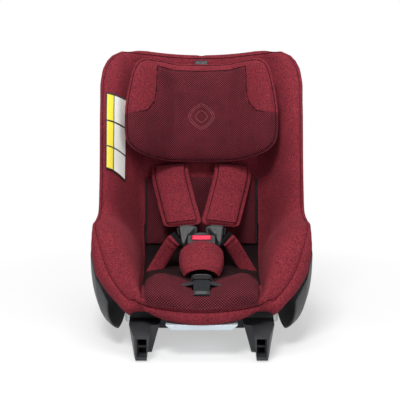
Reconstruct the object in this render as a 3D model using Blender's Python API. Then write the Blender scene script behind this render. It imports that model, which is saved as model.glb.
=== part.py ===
"""Convertible child car seat: a padded bucket that reclines on a curved cradle, a height-adjustable
headrest, a five-point harness and a base whose two arms slide out to anchor it in the car.

Metres, +Z up. The child faces -Y and +X is to the right seen from the front. The origin is on the
floor, under the middle of the base plate.
"""

import math

import bmesh
import bpy
import numpy as np
from mathutils import Vector

# ---- driving dimensions -------------------------------------------------------------------------
MIRROR_SIDES = ((1, "right"), (-1, "left"))

# The recline turns the bucket about this line, parallel to X, so every sliding face is an arc of it.
PIVOT_Y = -0.010
PIVOT_Z = 0.630
RUNNER_RADIUS = 0.560
CRADLE_RADIUS = 0.563
SKIRT_RADIUS = 0.612

# The bucket's inner face: station, then y and z of its middle line, from the front lip to the top.
SPINE = (
    (0.00, -0.246, 0.090),
    (0.06, -0.232, 0.1045),
    (0.12, -0.201, 0.1075),
    (0.25, -0.115, 0.1035),
    (0.38, -0.020, 0.0985),
    (0.45, 0.032, 0.101),
    (0.52, 0.076, 0.122),
    (0.60, 0.103, 0.175),
    (0.70, 0.124, 0.250),
    (0.80, 0.150, 0.335),
    (0.90, 0.176, 0.425),
    (0.96, 0.193, 0.486),
    (1.00, 0.204, 0.531),
)
# The bucket's rim on the right: station, x, y and z, from the front corner to the top corner.
RIM = (
    (0.00, 0.134, -0.208, 0.102),
    (0.06, 0.156, -0.187, 0.120),
    (0.12, 0.177, -0.163, 0.147),
    (0.20, 0.193, -0.135, 0.183),
    (0.30, 0.2035, -0.104, 0.209),
    (0.38, 0.2075, -0.070, 0.2185),
    (0.46, 0.2065, -0.032, 0.219),
    (0.53, 0.2035, 0.000, 0.231),
    (0.60, 0.2025, 0.011, 0.268),
    (0.70, 0.2025, 0.030, 0.329),
    (0.80, 0.2030, 0.050, 0.394),
    (0.88, 0.2045, 0.080, 0.450),
    (0.94, 0.2045, 0.112, 0.494),
    (0.975, 0.1970, 0.1410, 0.5240),
    (1.00, 0.171, 0.1675, 0.5450),
)
# Radius of the rolled edge, by station.
ROLL = (
    (0, 0.016),
    (0.06, 0.021),
    (0.12, 0.0235),
    (0.2, 0.018),
    (0.27, 0.0105),
    (0.34, 0.0065),
    (0.9, 0.0058),
    (1, 0.0085),
)
FLOOR_HALF_WIDTH = ((0.0, 0.108), (0.15, 0.114), (0.45, 0.120), (0.6, 0.123), (1.0, 0.118))
FLOOR_SHARE = 0.45
COVER_THICKNESS = 0.004
SHELL_THICKNESS = 0.0045
SHELL_DEPTH = 0.0125
CUSHION_GAP = 0.0028
CAD_SHARES = (0.0, 0.15, 0.30, 0.45, 0.56, 0.67, 0.78, 0.89, 1.0)
CAD_STATIONS = (
    *(0, 0.05, 0.10, 0.135, 0.17, 0.21, 0.25, 0.34, 0.42, 0.48),
    *(0.53, 0.58, 0.65, 0.73, 0.82, 0.89, 0.94, 0.975, 1.0),
)

# Side panels, by y: height of the top edge, half width at the top and at the skirt's edge.
TRIM_TOP = (
    (-0.178, 0.088),
    (-0.14, 0.128),
    (-0.10, 0.164),
    (-0.05, 0.178),
    (0.05, 0.180),
    (0.10, 0.168),
    (0.13, 0.135),
)
TRIM_WIDEST = (
    (-0.178, 0.1745),
    (-0.14, 0.1995),
    (-0.10, 0.2125),
    (-0.05, 0.2155),
    (0.05, 0.2155),
    (0.13, 0.204),
)
TRIM_FOOT = ((-0.178, 0.1565), (-0.12, 0.1575), (0.08, 0.1575), (0.13, 0.155))

# The back leans by this angle; the headrest slides along it.
BACK_TILT = math.radians(16.4)
ALONG_BACK = Vector((0.0, math.sin(BACK_TILT), math.cos(BACK_TILT)))
OFF_BACK = Vector((0.0, -math.cos(BACK_TILT), math.sin(BACK_TILT)))
HEAD_ORIGIN = Vector((0.0, 0.179, 0.430))
HEAD_HALF_WIDTH = 0.160
HEAD_TOP = 0.089
HEAD_BOTTOM = -0.131

# The crotch strap runs down and forwards from the buckle's top.
BUCKLE_TOP = Vector((0.0, 0.004, 0.172))
CROTCH_RUN = Vector((0.0, -0.89, -0.456)).normalized()
CROTCH_UP = Vector((0.0, -0.456, 0.89)).normalized()

# Base: two legs that end in hollow noses, and the anchor arms outboard of them.
BASE_REAR_Y = 0.190
ARM_X = (0.1372, 0.1472)
ARM_Z = (0.030, 0.054)
# The anchor connector and its hook, as (y, z) outlines.
CONNECTOR_OUTLINE = (
    *((0.2004, 0.0215), (0.2700, 0.0215), (0.2740, 0.0260), (0.2740, 0.0345), (0.2560, 0.0375)),
    *((0.2560, 0.0465), (0.2740, 0.0495), (0.2740, 0.0560), (0.2680, 0.0615), (0.2004, 0.0625)),
)
HOOK_OUTLINE = (
    *((0.2500, 0.0480), (0.2580, 0.0480), (0.2690, 0.0480), (0.2710, 0.0510)),
    *((0.2690, 0.0550), (0.2530, 0.0560), (0.2495, 0.0540)),
)
WEBBING_WIDTH = 0.036

RED = (0.230, 0.020, 0.034)
DARK_RED = (0.120, 0.010, 0.020)
CHARCOAL = (0.036, 0.038, 0.042)
BLACK = (0.010, 0.010, 0.011)
PALE_GREY = (0.520, 0.560, 0.590)
BUTTON_RED = (0.620, 0.010, 0.045)
BUTTON_GREEN = (0.02, 0.25, 0.05)
STEEL = (0.55, 0.56, 0.58)
FOAM = (0.75, 0.75, 0.74)
LABEL = (0.80, 0.72, 0.20)


# ---- making objects -----------------------------------------------------------------------------
def clear_scene():
    for obj in list(bpy.data.objects):
        bpy.data.objects.remove(obj, do_unlink=True)


def material(name, colour, roughness, metallic=0.0):
    made = bpy.data.materials.get(name) or bpy.data.materials.new(name)
    made.use_nodes = True
    shader = made.node_tree.nodes["Principled BSDF"]
    shader.inputs["Base Color"].default_value = (*colour, 1.0)
    shader.inputs["Roughness"].default_value = roughness
    shader.inputs["Metallic"].default_value = metallic
    return made


def fabric():
    return material("melange_fabric", RED, 0.9)


def mesh_fabric():
    return material("spacer_mesh", DARK_RED, 0.85)


def plastic():
    return material("charcoal_plastic", CHARCOAL, 0.45)


def black_plastic():
    return material("black_plastic", BLACK, 0.4)


def webbing():
    return material("webbing", BLACK, 0.8)


def steel():
    return material("steel", STEEL, 0.3, 1.0)


def solid(name, points, faces, finish):
    """One closed mesh object, its faces turned outwards."""
    mesh = bpy.data.meshes.new(name)
    work = bmesh.new()
    corners = [work.verts.new(Vector(p)) for p in points]
    for face in faces:
        work.faces.new([corners[i] for i in face])
    bmesh.ops.recalc_face_normals(work, faces=work.faces)
    work.to_mesh(mesh)
    work.free()
    mesh.materials.append(finish)
    obj = bpy.data.objects.new(name, mesh)
    bpy.context.scene.collection.objects.link(obj)
    mesh.shade_smooth()
    mesh.set_sharp_from_angle(angle=math.radians(35))
    return obj


def loft(name, loops, finish):
    """A solid through closed loops of equal length, capped at both ends."""
    count = len(loops[0])
    points = [p for loop in loops for p in loop]
    faces = [list(range(count)), [len(points) - count + i for i in range(count)]]
    for k in range(len(loops) - 1):
        for i in range(count):
            j = (i + 1) % count
            faces.append([k * count + i, k * count + j, (k + 1) * count + j, (k + 1) * count + i])
    return solid(name, points, faces, finish)


def prism_x(name, outline, low, high, finish):
    """An outline of (y, z) points extruded from x = low to x = high."""
    return loft(name, [[(x, y, z) for y, z in outline] for x in (low, high)], finish)


def prism_y(name, outline, low, high, finish):
    """An outline of (x, z) points extruded from y = low to y = high."""
    return loft(name, [[(x, y, z) for x, z in outline] for y in (low, high)], finish)


def block(name, low, high, finish):
    outline = [(low[1], low[2]), (high[1], low[2]), (high[1], high[2]), (low[1], high[2])]
    return prism_x(name, outline, low[0], high[0], finish)


def slab(name, upper, lower, finish):
    """A solid between two grids of points of the same size, closed round their edges."""
    rows, columns = len(upper), len(upper[0])
    points = [p for grid in (upper, lower) for row in grid for p in row]
    offset = rows * columns
    faces = []
    for r in range(rows - 1):
        for c in range(columns - 1):
            a = r * columns + c
            quad = [a, a + 1, a + columns + 1, a + columns]
            faces.append(quad)
            faces.append([i + offset for i in reversed(quad)])
    edge = boundary(rows, columns)
    for i, first in enumerate(edge):
        second = edge[(i + 1) % len(edge)]
        a, b = first[0] * columns + first[1], second[0] * columns + second[1]
        faces.append([b, a, a + offset, b + offset])
    return solid(name, points, faces, finish)


def boundary(rows, columns):
    """The (row, column) places round a grid's edge, in order."""
    front = [(0, c) for c in range(columns)]
    right = [(r, columns - 1) for r in range(1, rows)]
    top = [(rows - 1, c) for c in range(columns - 2, -1, -1)]
    left = [(r, 0) for r in range(rows - 2, 0, -1)]
    return front + right + top + left


def cut(obj, tool):
    """Cuts one object out of another, and hides the cutter."""
    modifier = obj.modifiers.new("cut_" + tool.name, "BOOLEAN")
    modifier.operation = "DIFFERENCE"
    modifier.object = tool
    tool.hide_render = True
    tool.display_type = "WIRE"


# ---- curves -------------------------------------------------------------------------------------
def through(table, at):
    """A smooth curve through a table's rows, each a parameter and then values, read at a parameter."""
    keys = [row[0] for row in table]
    values = np.array([row[1:] for row in table], float)
    slopes = np.gradient(values, keys, axis=0)
    k = min(max(int(np.searchsorted(keys, at)) - 1, 0), len(keys) - 2)
    span = keys[k + 1] - keys[k]
    t = (at - keys[k]) / span
    ease = 3 * t**2 - 2 * t**3
    enter = t**3 - 2 * t**2 + t
    leave = t**3 - t**2
    base = values[k] * (1 - ease) + values[k + 1] * ease
    return base + span * (slopes[k] * enter + slopes[k + 1] * leave)


def straight(table, at):
    return float(np.interp(at, [row[0] for row in table], [row[1] for row in table]))


def smoothstep(t):
    t = min(max(t, 0.0), 1.0)
    return t * t * (3 - 2 * t)


def arc_height(radius, y):
    """Height at y of the lower side of the circle of that radius about the recline pivot."""
    return PIVOT_Z - math.sqrt(radius**2 - (y - PIVOT_Y) ** 2)


def arc_points(radius, low, high, count):
    """(y, z) points along a pivot arc from y = low to y = high."""
    return [(y, arc_height(radius, y)) for y in np.linspace(low, high, count)]


def on_back(x, along, off):
    """A point given across, up along the back and off its face."""
    return HEAD_ORIGIN + Vector((x, 0, 0)) + ALONG_BACK * along + OFF_BACK * off


# ---- the bucket ---------------------------------------------------------------------------------
def spine_normal(station):
    low, high = max(station - 0.01, 0), min(station + 0.01, 1)
    run = through(SPINE, high) - through(SPINE, low)
    normal = np.array([-run[1], run[0]])
    return normal / np.linalg.norm(normal)


def cubic(a, b, c, d, t):
    return a * (1 - t) ** 3 + 3 * b * t * (1 - t) ** 2 + 3 * c * t**2 * (1 - t) + d * t**3


def floor_point(across, station):
    """Inner face on the bucket's floor or back; across runs from 0 in the middle to 1 at the wall."""
    middle = through(SPINE, station)
    half = straight(FLOOR_HALF_WIDTH, station)
    lip = 0.022 * max(0.0, 1 - station / 0.10)
    back = 0.004 * smoothstep((station - 0.5) / 0.2)
    top = smoothstep((station - 0.9) / 0.1)
    sweep = (lip - back - 0.006 * top) * across**2
    rise = (0.006 * max(0.0, 1 - station / 0.10) + 0.009 * top) * across**2
    return np.array([half * across, middle[0] + sweep, middle[1] + rise])


def inner_point(share, station):
    """The bucket's inner face; share runs from 0 in the middle to 1 at the right rim."""
    if share <= FLOOR_SHARE:
        return floor_point(share / FLOOR_SHARE, station)
    t = (share - FLOOR_SHARE) / (1 - FLOOR_SHARE)
    foot = floor_point(1.0, station)
    rim = np.array(through(RIM, station))
    span = rim - foot
    across = np.array([span[0], 0, 0])
    rise = span - across
    steep = 1 - smoothstep((station - 0.42) / 0.16)
    first = foot + across * (0.32 - 0.20 * steep) + rise * (0.16 + 0.34 * steep)
    last = rim - across * (0.42 + 0.13 * steep)
    return cubic(foot, first, last, rim, t)


def rim_normal(station):
    """Direction out of the rolled edge's crown, square to the rim."""
    low, high = max(station - 0.015, 0), min(station + 0.015, 1)
    run = through(RIM, high) - through(RIM, low)
    normal = np.array([0, -run[2], run[1]])
    return normal / np.linalg.norm(normal)


def outer_point(share, station):
    """The shell's outer face, under the floor and up the outside of the walls."""
    normal = spine_normal(station)
    front = smoothstep((0.20 - station) / 0.10)
    roll = straight(ROLL, station)
    off = np.array([0.17 * front * share, normal[0], normal[1]]) * (SHELL_DEPTH - 0.0032 * front)
    if share <= FLOOR_SHARE:
        return floor_point(share / FLOOR_SHARE, station) - off
    t = (share - FLOOR_SHARE) / (1 - FLOOR_SHARE)
    foot = floor_point(1.0, station) - off
    crown = rim_normal(station)
    rim = np.array(through(RIM, station)) - crown * (roll + 0.006 * (1 - front))
    rim[0] -= 0.001 + 0.015 * front
    span = rim - foot
    across = np.array([span[0], 0, 0])
    first = foot + across * 0.62 + (span - across) * 0.02
    last = rim - crown * 0.5 * abs(np.dot(span, crown))
    return cubic(foot, first, last, rim, t)


def mirrored_grid(point, shares, stations):
    """Rows of points from the left rim to the right rim, at each station."""
    grid = []
    for station in stations:
        right = [point(share, station) for share in shares]
        left = [p * np.array([-1, 1, 1]) for p in reversed(right[1:])]
        grid.append(left + right)
    return np.array(grid)


def grid_normals(grid):
    across = np.gradient(grid, axis=1)
    along = np.gradient(grid, axis=0)
    normals = np.cross(across, along)
    return normals / np.linalg.norm(normals, axis=2, keepdims=True)


def cover_skins(shares, stations):
    """Outer and inner skin of the cover: the inner face carried round the rim to a hem outside."""
    grid = mirrored_grid(inner_point, shares, stations)
    normals = grid_normals(grid)
    across = np.gradient(grid, axis=1)
    along = np.gradient(grid, axis=0)
    rows, columns = grid.shape[:2]
    edge = boundary(rows, columns)
    rings, inner_rings = [], []
    turns = (0.33, 0.66, 1.0)
    hem = (0.5, 1.0)
    for _ in range(len(turns) + len(hem)):
        rings.append([])
        inner_rings.append([])
    for r, c in edge:
        outward = np.zeros(3)
        if c in (0, columns - 1):
            outward += across[r, c] / np.linalg.norm(across[r, c]) * (1 if c else -1)
        if r in (0, rows - 1):
            outward += along[r, c] / np.linalg.norm(along[r, c]) * (1 if r else -1)
        normal = normals[r, c]
        outward -= normal * np.dot(outward, normal)
        outward /= np.linalg.norm(outward)
        roll = straight(ROLL, stations[r])
        centre = grid[r, c] - normal * roll
        share = abs(2 * c / (columns - 1) - 1)
        turn_back = math.radians(90) if 0 < r < rows - 1 else math.radians(15 + 75 * share**3)
        last_turn = math.pi - turn_back
        level = 0
        for turn in turns:
            t = turn * last_turn
            shrink = 1 - 0.5 * smoothstep((t - math.pi / 2) / (math.pi / 2))
            ray = normal * math.cos(t) + outward * math.sin(t)
            rings[level].append(centre + ray * roll * shrink)
            inner_rings[level].append(centre + ray * (roll * shrink - COVER_THICKNESS))
            level += 1
        side = normal * math.cos(last_turn) + outward * math.sin(last_turn)
        down = -(outward * math.cos(turn_back) + normal * math.sin(turn_back))
        close = 0.0035 + COVER_THICKNESS
        shrink = 1 - 0.5 * smoothstep((last_turn - math.pi / 2) / (math.pi / 2))
        for part in hem:
            reach = roll * shrink * (1 - part) + close * part
            place = centre + down * ((0.022 if r else 0.008) * part)
            rings[level].append(place + side * reach)
            inner_rings[level].append(place + side * (reach - COVER_THICKNESS))
            level += 1
    return grid, grid - normals * COVER_THICKNESS, rings, inner_rings


def ringed_solid(name, outer, inner, rings, inner_rings, finish):
    """A skin with thickness: two grids, each carried on through rings, joined at the last ring."""
    rows, columns = outer.shape[:2]
    edge = boundary(rows, columns)
    points, faces = [], []

    def add_skin(grid, loops):
        start = len(points)
        points.extend(p for row in grid for p in row)
        for r in range(rows - 1):
            for c in range(columns - 1):
                a = start + r * columns + c
                faces.append([a, a + 1, a + columns + 1, a + columns])
        last = [start + r * columns + c for r, c in edge]
        for loop in loops:
            first = len(points)
            points.extend(loop)
            new = list(range(first, first + len(loop)))
            for i in range(len(new)):
                j = (i + 1) % len(new)
                faces.append([last[i], last[j], new[j], new[i]])
            last = new
        return last

    a = add_skin(outer, rings)
    b = add_skin(inner, inner_rings)
    for i in range(len(a)):
        j = (i + 1) % len(a)
        faces.append([a[i], a[j], b[j], b[i]])
    return solid(name, points, faces, finish)


def make_cover():
    cover = ringed_solid("seat_cover", *cover_skins(CAD_SHARES, CAD_STATIONS), fabric())
    for tool in slot_tools("cover"):
        cut(cover, tool)


def make_shell():
    grid = mirrored_grid(outer_point, CAD_SHARES, CAD_STATIONS[3:-1])
    inner = grid + grid_normals(grid) * SHELL_THICKNESS
    shell = slab("seat_shell", inner, grid, plastic())
    for tool in slot_tools("shell"):
        cut(shell, tool)


def slot_tools(prefix):
    """Cutters for the headrest's slot in the back and the two strap slots in the seat."""
    corners = ((-0.117, -0.04), (-0.117, 0.03), (0.074, 0.03), (0.074, -0.04))
    outline = [tuple(on_back(0, along, off).yz) for along, off in corners]
    yield prism_x(prefix + "_head_slot_tool", outline, -0.034, 0.034, plastic())
    yield block(prefix + "_crotch_slot_tool", (-0.022, -0.104, 0.06), (0.022, -0.094, 0.15), plastic())
    yield block(prefix + "_adjuster_slot_tool", (-0.018, -0.196, 0.07), (0.018, -0.186, 0.16), plastic())


def make_wing_foam():
    """Energy-absorbing foam in each side wing, between cover and shell."""
    shares = np.linspace(0.54, 0.86, 5)
    stations = np.linspace(0.60, 0.93, 7)
    for side, name in MIRROR_SIDES:
        near, far = [], []
        for station in stations:
            inside = [inner_point(s, station) for s in shares]
            outside = [outer_point(s, station) for s in shares]
            near.append([a + (b - a) * foam_share(a, b, 0.0085) for a, b in zip(inside, outside)])
            far.append([b + (a - b) * foam_share(a, b, 0.0095) for a, b in zip(inside, outside)])
        flip = np.array([side, 1, 1])
        slab("wing_foam_" + name, np.array(near) * flip, np.array(far) * flip, material("foam", FOAM, 0.9))


def foam_share(a, b, depth):
    return min(depth / np.linalg.norm(b - a), 0.45)


# ---- trim, cushions and pads --------------------------------------------------------------------
def make_side_trim():
    """Outer side panels: from under the cover's hem down to a skirt that hides the base."""
    stations = (-0.178, -0.150, -0.120, -0.090, -0.05, 0.0, 0.05, 0.09, 0.115, 0.130)
    levels = np.linspace(0, 1, 7)
    for side, name in MIRROR_SIDES:
        outer, inner = [], []
        for y in stations:
            rows = [trim_point(y, level) for level in levels]
            outer.append([np.array([side * x, y, z]) for x, z in rows])
            inner.append([np.array([side * (x - 0.003), y, z]) for x, z in rows])
        slab("side_trim_" + name, outer, inner, plastic())


def trim_point(y, level):
    """x and z of the side panel's outer face; level runs from 0 at the top to 1 at the skirt's edge."""
    top = straight(TRIM_TOP, y)
    bottom = arc_height(SKIRT_RADIUS, y)
    z = top + (bottom - top) * level
    widest = straight(TRIM_WIDEST, y)
    foot = straight(TRIM_FOOT, y)
    bulge = math.sqrt(max(0.0, 1 - level**2.6))
    return foot + (widest - foot) * bulge, z


def pad_on_bucket(name, half_width, stations, height, finish, columns=9):
    """A cushion resting on the bucket's inner face; height is a function of across and station."""
    upper, lower = [], []
    for station in stations:
        normal = spine_normal(station)
        off = np.array([0, normal[0], normal[1]])
        edge = half_width(station)
        top_row, low_row = [], []
        for across in np.linspace(-1, 1, columns):
            half = straight(FLOOR_HALF_WIDTH, station)
            base = floor_point(abs(across) * edge / half, station)
            base[0] = across * edge
            top_row.append(base + off * height(across, station))
            low_row.append(base + off * CUSHION_GAP)
        upper.append(top_row)
        lower.append(low_row)
    return slab(name, upper, lower, finish)


def seat_height(across, station):
    """Seat cushion's thickness: two thigh lobes with a valley between them for the adjuster."""
    lobe = math.exp(-(((abs(across) - 0.72) / 0.36) ** 2))
    crest = math.exp(-(((station - 0.165) / 0.10) ** 2))
    ends = smoothstep(station / 0.06) * smoothstep((0.47 - station) / 0.06)
    side = 1 - 0.6 * smoothstep((abs(across) - 0.8) / 0.2)
    return 0.0035 + ends * (0.005 * side + 0.024 * lobe * crest)


def back_height(across, station):
    ends = smoothstep((station - 0.53) / 0.05) * smoothstep((0.755 - station) / 0.04)
    return 0.0035 + 0.008 * ends * (1 - 0.6 * across**4)


def make_cushions():
    seat = pad_on_bucket(
        "seat_cushion",
        lambda v: straight(FLOOR_HALF_WIDTH, v) - 0.007,
        (0.012, 0.05, 0.10, 0.135, 0.17, 0.21, 0.25, 0.34, 0.42, 0.45),
        seat_height,
        mesh_fabric(),
    )
    cut(seat, block("cushion_crotch_slot_tool", (-0.022, -0.106, 0.06), (0.022, -0.082, 0.16), plastic()))
    cut(seat, block("cushion_adjuster_tool", (-0.0315, -0.2098, 0.07), (0.0315, -0.1722, 0.17), plastic()))
    stations = (0.55, 0.58, 0.62, 0.67, 0.71, 0.735)
    pad_on_bucket("back_cushion", lambda v: 0.115, stations, back_height, mesh_fabric())


# ---- headrest -----------------------------------------------------------------------------------
def head_outline(turn):
    """(across, along) of the headrest's edge: boxy at the top, rounder below."""
    c, s = math.cos(turn), math.sin(turn)
    middle = -0.045
    power = 7.5 if s > 0 else 4.3
    reach = (abs(c) ** power + abs(s) ** power) ** (-1 / power)
    height = (HEAD_TOP - middle) if s > 0 else (middle - HEAD_BOTTOM)
    width = HEAD_HALF_WIDTH - 0.016 * smoothstep(max(s, 0) * reach)
    dip = -0.006 * max(s, 0) * (1 - (c * reach) ** 2)
    return c * reach * width, middle + s * reach * height + dip


def head_back(x):
    """How far the headrest's rear face stands off the back, at x."""
    return 0.0145 + 0.054 * smoothstep((abs(x) - 0.098) / 0.066)


def head_front(x):
    return 0.058 + 0.066 * smoothstep((abs(x) - 0.050) / 0.098)


def head_disc(shape, scale, rings=(0.0, 0.35, 0.62, 0.84, 1.0), sides=28):
    """Rings of points from the middle to the edge; shape gives the height off the back."""
    disc = []
    for ring in rings[1:]:
        row = []
        for i in range(sides):
            across, along = head_outline(2 * math.pi * i / sides)
            x, s = across * ring * scale, -0.02 + (along + 0.02) * ring * scale
            row.append(on_back(x, s, shape(x, ring)))
        disc.append(row)
    return on_back(0, -0.02, shape(0, 0)), disc


def disc_solid(name, front, back, finish):
    points, faces = [], []
    ends = []
    for centre, rows in (front, back):
        first = len(points)
        points.append(centre)
        sides = len(rows[0])
        for row in rows:
            points.extend(row)
        for i in range(sides):
            j = (i + 1) % sides
            faces.append([first, first + 1 + i, first + 1 + j])
            for k in range(len(rows) - 1):
                a, b = first + 1 + k * sides, first + 1 + (k + 1) * sides
                faces.append([a + i, b + i, b + j, a + j])
        ends.append(len(points) - sides)
    for i in range(sides):
        j = (i + 1) % sides
        faces.append([ends[0] + i, ends[1] + i, ends[1] + j, ends[0] + j])
    return solid(name, points, faces, finish)


def make_headrest():
    shell_front = head_disc(lambda x, ring: head_back(x) + 0.004, 0.88)
    shell_back = head_disc(lambda x, ring: head_back(x), 0.88)
    disc_solid("headrest_shell", shell_front, shell_back, black_plastic())
    pad_front = head_disc(lambda x, ring: head_front(x) - 0.020 * ring**6, 1.0)
    pad_back = head_disc(lambda x, ring: head_back(x) + 0.0095, 1.0)
    disc_solid("headrest_pad", pad_front, pad_back, fabric())
    corners = ((-0.1150, -0.027), (-0.1150, 0.0139), (-0.0740, 0.0139), (-0.0740, -0.027))
    outline = [on_back(0, a, q) for a, q in corners]
    prism_x("headrest_carrier", [(p.y, p.z) for p in outline], -0.030, 0.030, black_plastic())
    pull = ((0.062, 0.0070), (0.094, 0.0070), (0.098, 0.0100), (0.094, 0.0138), (0.062, 0.0138))
    outline = [on_back(0, a, q) for a, q in pull]
    prism_x("headrest_pull", [(p.y, p.z) for p in outline], -0.014, 0.014, black_plastic())


# ---- harness ------------------------------------------------------------------------------------
def ribbon(name, path, widths, thickness, up, finish, crown=0.0):
    """A flat strap along a path. Each row of widths is the left and right edge, measured across."""
    loops = []
    path = [Vector(p) for p in path]
    side = None
    for i, place in enumerate(path):
        run = (path[min(i + 1, len(path) - 1)] - path[max(i - 1, 0)]).normalized()
        across = run.cross(Vector(up)).normalized()
        if side and across.dot(side) < 0:
            across = -across
        side = across
        normal = across.cross(run).normalized()
        low, high = widths[i]
        loop = []
        for k in range(5):
            x = low + (high - low) * k / 4
            loop.append(place + across * x + normal * (thickness / 2 + crown * (1 - (k / 2 - 1) ** 2)))
        for k in range(4, -1, -1):
            x = low + (high - low) * k / 4
            loop.append(place + across * x - normal * (thickness / 2 - crown * (1 - (k / 2 - 1) ** 2)))
        loops.append(loop)
    return loft(name, loops, finish)


def make_shoulder_gear():
    """Shoulder pads, which rise with the headrest, and the webbing between them and the tongues."""
    for side, name in MIRROR_SIDES:
        path = [(side * x, y, z) for x, y, z in (
            (0.0675, 0.1316, 0.308),
            (0.0650, 0.1115, 0.288),
            (0.0560, 0.0890, 0.250),
            (0.0440, 0.0580, 0.215),
            (0.0345, 0.0370, 0.194),
        )]
        reach = (
            (-0.0360, 0.0375),
            (-0.0390, 0.0355),
            (-0.0380, 0.0365),
            (-0.0380, 0.0345),
            (-0.0390, 0.0305),
        )
        widths = [(low, high) if side > 0 else (-high, -low) for low, high in reach]
        ribbon("shoulder_pad_" + name, path, widths, 0.009, (0, -1, 0), fabric())
        path = [(side * x, y, z) for x, y, z in (
            (0.0330, 0.0335, 0.1895),
            (0.0320, 0.0262, 0.1832),
            (0.0310, 0.0200, 0.1785),
        )]
        half = WEBBING_WIDTH / 2
        ribbon("shoulder_strap_" + name, path, [(-half, half)] * 3, 0.002, (0, -1, 0), webbing())


def on_crotch(x, along, off):
    """A point given across, down along the crotch strap from the buckle's top, and off its face."""
    return BUCKLE_TOP + Vector((x, 0, 0)) + CROTCH_RUN * along + CROTCH_UP * off


def crotch_box(name, across, along, off, finish):
    corners = ((along[0], off[0]), (along[1], off[0]), (along[1], off[1]), (along[0], off[1]))
    outline = [on_crotch(0, a, q) for a, q in corners]
    return prism_x(name, [(p.y, p.z) for p in outline], across[0], across[1], finish)


def make_buckle():
    body = crotch_box("buckle_housing", (-0.028, 0.028), (0.0, 0.050), (-0.012, 0.008), black_plastic())
    cut(body, crotch_box("buckle_button_tool", (-0.0195, 0.0195), (0.003, 0.017), (0.0015, 0.02), plastic()))
    button = material("button_red", BUTTON_RED, 0.35)
    crotch_box("buckle_button", (-0.019, 0.019), (0.0035, 0.0165), (0.0045, 0.0105), button)
    for side, name in MIRROR_SIDES:
        ends = sorted((side * 0.006, side * 0.046))
        crotch_box("buckle_tongue_" + name, ends, (-0.014, -0.0006), (-0.0045, 0.0005), steel())
    path = [on_crotch(0, a, q) for a, q in ((0.0506, -0.002), (0.075, -0.005), (0.100, -0.013))]
    path += [Vector((0, -0.099, 0.107)), Vector((0, -0.099, 0.0915))]
    half = 0.019
    ribbon("crotch_strap", path, [(-half, half)] * 5, 0.003, (0, -0.456, 0.89), webbing())


def make_crotch_pad():
    """A padded sleeve arched over the buckle's lower half and the crotch strap."""
    upper, lower = [], []
    for along, height, fall, half_width in (
        (0.024, 0.0215, 0.030, 0.043),
        (0.044, 0.0225, 0.030, 0.043),
        (0.066, 0.0225, 0.028, 0.043),
        (0.088, 0.0225, 0.023, 0.041),
        (0.108, 0.0230, 0.0175, 0.037),
        (0.122, 0.0240, 0.0150, 0.034),
    ):
        top_row, low_row = [], []
        for turn in np.linspace(-1, 1, 9):
            x = half_width * math.sin(turn * 1.35) / math.sin(1.35)
            drop = fall * (1 - math.cos(turn * 1.35)) / (1 - math.cos(1.35))
            spread = Vector((math.sin(turn * 1.2), 0, 0)) + CROTCH_UP * math.cos(turn * 1.2)
            middle = on_crotch(x, along, height - drop)
            top_row.append(middle + spread * 0.00325)
            low_row.append(middle - spread * 0.00325)
        upper.append(top_row)
        lower.append(low_row)
    slab("crotch_pad", upper, lower, fabric())


def make_lap_gear():
    """Lap straps from the tongues out and down to the sides, in padded sleeves."""
    for side, name in MIRROR_SIDES:
        path = [(side * x, y, z) for x, y, z in (
            (0.0480, 0.0080, 0.1690),
            (0.0660, 0.0160, 0.1640),
            (0.0830, 0.0200, 0.1510),
            (0.0970, 0.0200, 0.1340),
            (0.1060, 0.0180, 0.1210),
        )]
        half = WEBBING_WIDTH / 2
        ribbon("lap_strap_" + name, path, [(-half, half)] * 5, 0.002, (0, -1, 0.25), webbing())
        sleeve = [Vector(p) + Vector((0, -0.97, 0.24)) * 0.0085 for p in path[1:]]
        sleeve[0] += (Vector(path[0]) - Vector(path[1])) * 0.75
        ribbon("lap_pad_" + name, sleeve, [(-0.021, 0.021)] * 4, 0.009, (0, -1, 0.25), fabric())


def make_adjuster():
    """Front adjuster: a bezel in the cushion's valley, its release lever and the pull strap."""
    base = [(x, 0.0) for x in (-0.031, -0.022, -0.016, 0.016, 0.022, 0.031)]
    crown = [(0.031, 0.003), (0.020, 0.006), (-0.020, 0.006), (-0.031, 0.003)]
    loops = []
    sections = (
        (-0.168, 0.1275, 0.85),
        (-0.180, 0.1295, 1.0),
        (-0.198, 0.1275, 1.0),
        (-0.204, 0.1245, 0.8),
    )
    for y, z, grow in sections:
        loops.append([(x * grow, y, z + h) for x, h in base + crown])
    bezel = loft("adjuster_bezel", loops, plastic())
    cut(bezel, block("bezel_slot_tool", (-0.0172, -0.1965, 0.10), (0.0172, -0.1755, 0.15), plastic()))
    lever = [(-0.1765, 0.131), (-0.1825, 0.131), (-0.187, 0.1365), (-0.1765, 0.1395)]
    prism_x("adjuster_lever", lever, -0.0165, 0.0165, black_plastic())
    path = (
        (0, -0.191, 0.100),
        (0, -0.191, 0.118),
        (0, -0.1915, 0.1315),
        (0, -0.199, 0.1368),
        (0, -0.209, 0.133),
        (0, -0.219, 0.1225),
        (0, -0.226, 0.1155),
    )
    ribbon("adjuster_strap", path, [(-0.015, 0.015)] * 7, 0.0022, (0, -1, 0.2), webbing())


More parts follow.
